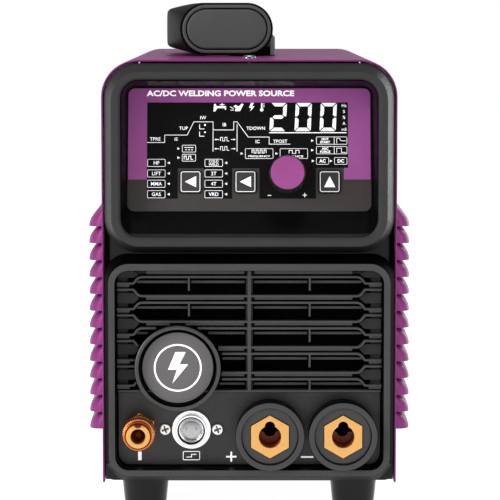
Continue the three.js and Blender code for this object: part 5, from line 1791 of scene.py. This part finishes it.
KEPT = {
    "base_tray": TRAY_STEEL, "front_bulkhead": MOLDING, "control_board": BOARD, "encoder_body": STEEL,
    "encoder_shaft": STEEL, "dinse_nut_left": BRASS, "dinse_nut_right": BRASS, "hinge_pin_front": STEEL,
    "hinge_pin_rear": STEEL, "power_board": BOARD, "heatsink_left": ALUMINIUM, "heatsink_right": ALUMINIUM,
    "main_transformer": WINDING, "output_inductor": WINDING, "gas_solenoid": BRASS, "gas_hose": HOSE,
}
for name, material in KEPT.items():
    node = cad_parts[name]
    node.data.materials.clear()
    node.data.materials.append(material)
    finish_shading(node, 35, 0.25)


# ------------------------------------------------------------------ floor, light and camera

FLOOR_REACH = 6


def floor():
    """A white floor that gives off enough light to meet the white of the dome."""
    mesh = bpy.data.meshes.new("floor")
    corners = [(x, y, 0) for x, y in box_outline(-FLOOR_REACH, FLOOR_REACH, -FLOOR_REACH, FLOOR_REACH)]
    mesh.from_pydata(corners, [], [(0, 1, 2, 3)])
    made = Finish("floor_white", 0.9)
    made.shades(made.noise(400, 2), (0.3, 0.3, 0.3, 1), (0.31, 0.31, 0.31, 1))
    made.glow(0.96)
    mesh.materials.append(made.material)
    ground = bpy.data.objects.new("floor", mesh)
    bpy.context.scene.collection.objects.link(ground)
    ground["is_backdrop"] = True


def softbox(name, place, target, size, power):
    """A rectangular studio light aimed at a target."""
    light = bpy.data.lights.new(name, "AREA")
    light.shape = "RECTANGLE"
    light.size, light.size_y = size
    light.energy = power
    lamp = bpy.data.objects.new(name, light)
    bpy.context.scene.collection.objects.link(lamp)
    lamp.location = place
    lamp.rotation_euler = (Vector(target) - Vector(place)).to_track_quat("-Z", "Y").to_euler()


def dome(tree):
    """White at the horizon, fading to a dim ceiling."""
    direction = tree.nodes.new("ShaderNodeTexCoord").outputs["Generated"]
    split = tree.nodes.new("ShaderNodeSeparateXYZ")
    fade = tree.nodes.new("ShaderNodeMapRange")
    fade.interpolation_type = "SMOOTHSTEP"
    fade.inputs["From Min"].default_value = math.sin(math.radians(3))
    fade.inputs["From Max"].default_value = math.sin(math.radians(17))
    fade.inputs["To Min"].default_value = 1.0
    fade.inputs["To Max"].default_value = 0.27
    tree.links.new(direction, split.inputs["Vector"])
    tree.links.new(split.outputs["Z"], fade.inputs["Value"])
    tree.links.new(fade.outputs["Result"], tree.nodes["Background"].inputs["Strength"])
    tree.nodes["Background"].inputs["Color"].default_value = (1, 1, 1, 1)


world = bpy.data.worlds.new("studio")
world.use_nodes = True
bpy.context.scene.world = world
dome(world.node_tree)

floor()
softbox("softbox_left", (-1.5, -1.15, 0.75), (0, -0.1, 0.15), (0.7, 1.2), 26)
softbox("softbox_right", (1.4, -0.9, 0.6), (0, -0.1, 0.15), (0.7, 1.2), 7)
softbox("softbox_top", (0, -0.3, 1.9), (0, 0, 0.2), (1.4, 1.0), 14)
softbox("softbox_rim", (0.95, 1.3, 0.45), (0, -0.1, 0.2), (0.5, 1.0), 4.5)

camera = bpy.data.objects.new("camera", bpy.data.cameras.new("camera"))
bpy.context.scene.collection.objects.link(camera)
camera.location = upright(0.4, 20 - 1604, 301.2)
camera.rotation_euler = (QUARTER - math.radians(5.14), 0, 0)
camera.data.lens = 194.5
camera.data.sensor_width = 36
camera.data.clip_end = 50
bpy.context.scene.camera = camera
bpy.context.scene.view_settings.view_transform = "Standard"

low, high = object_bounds()
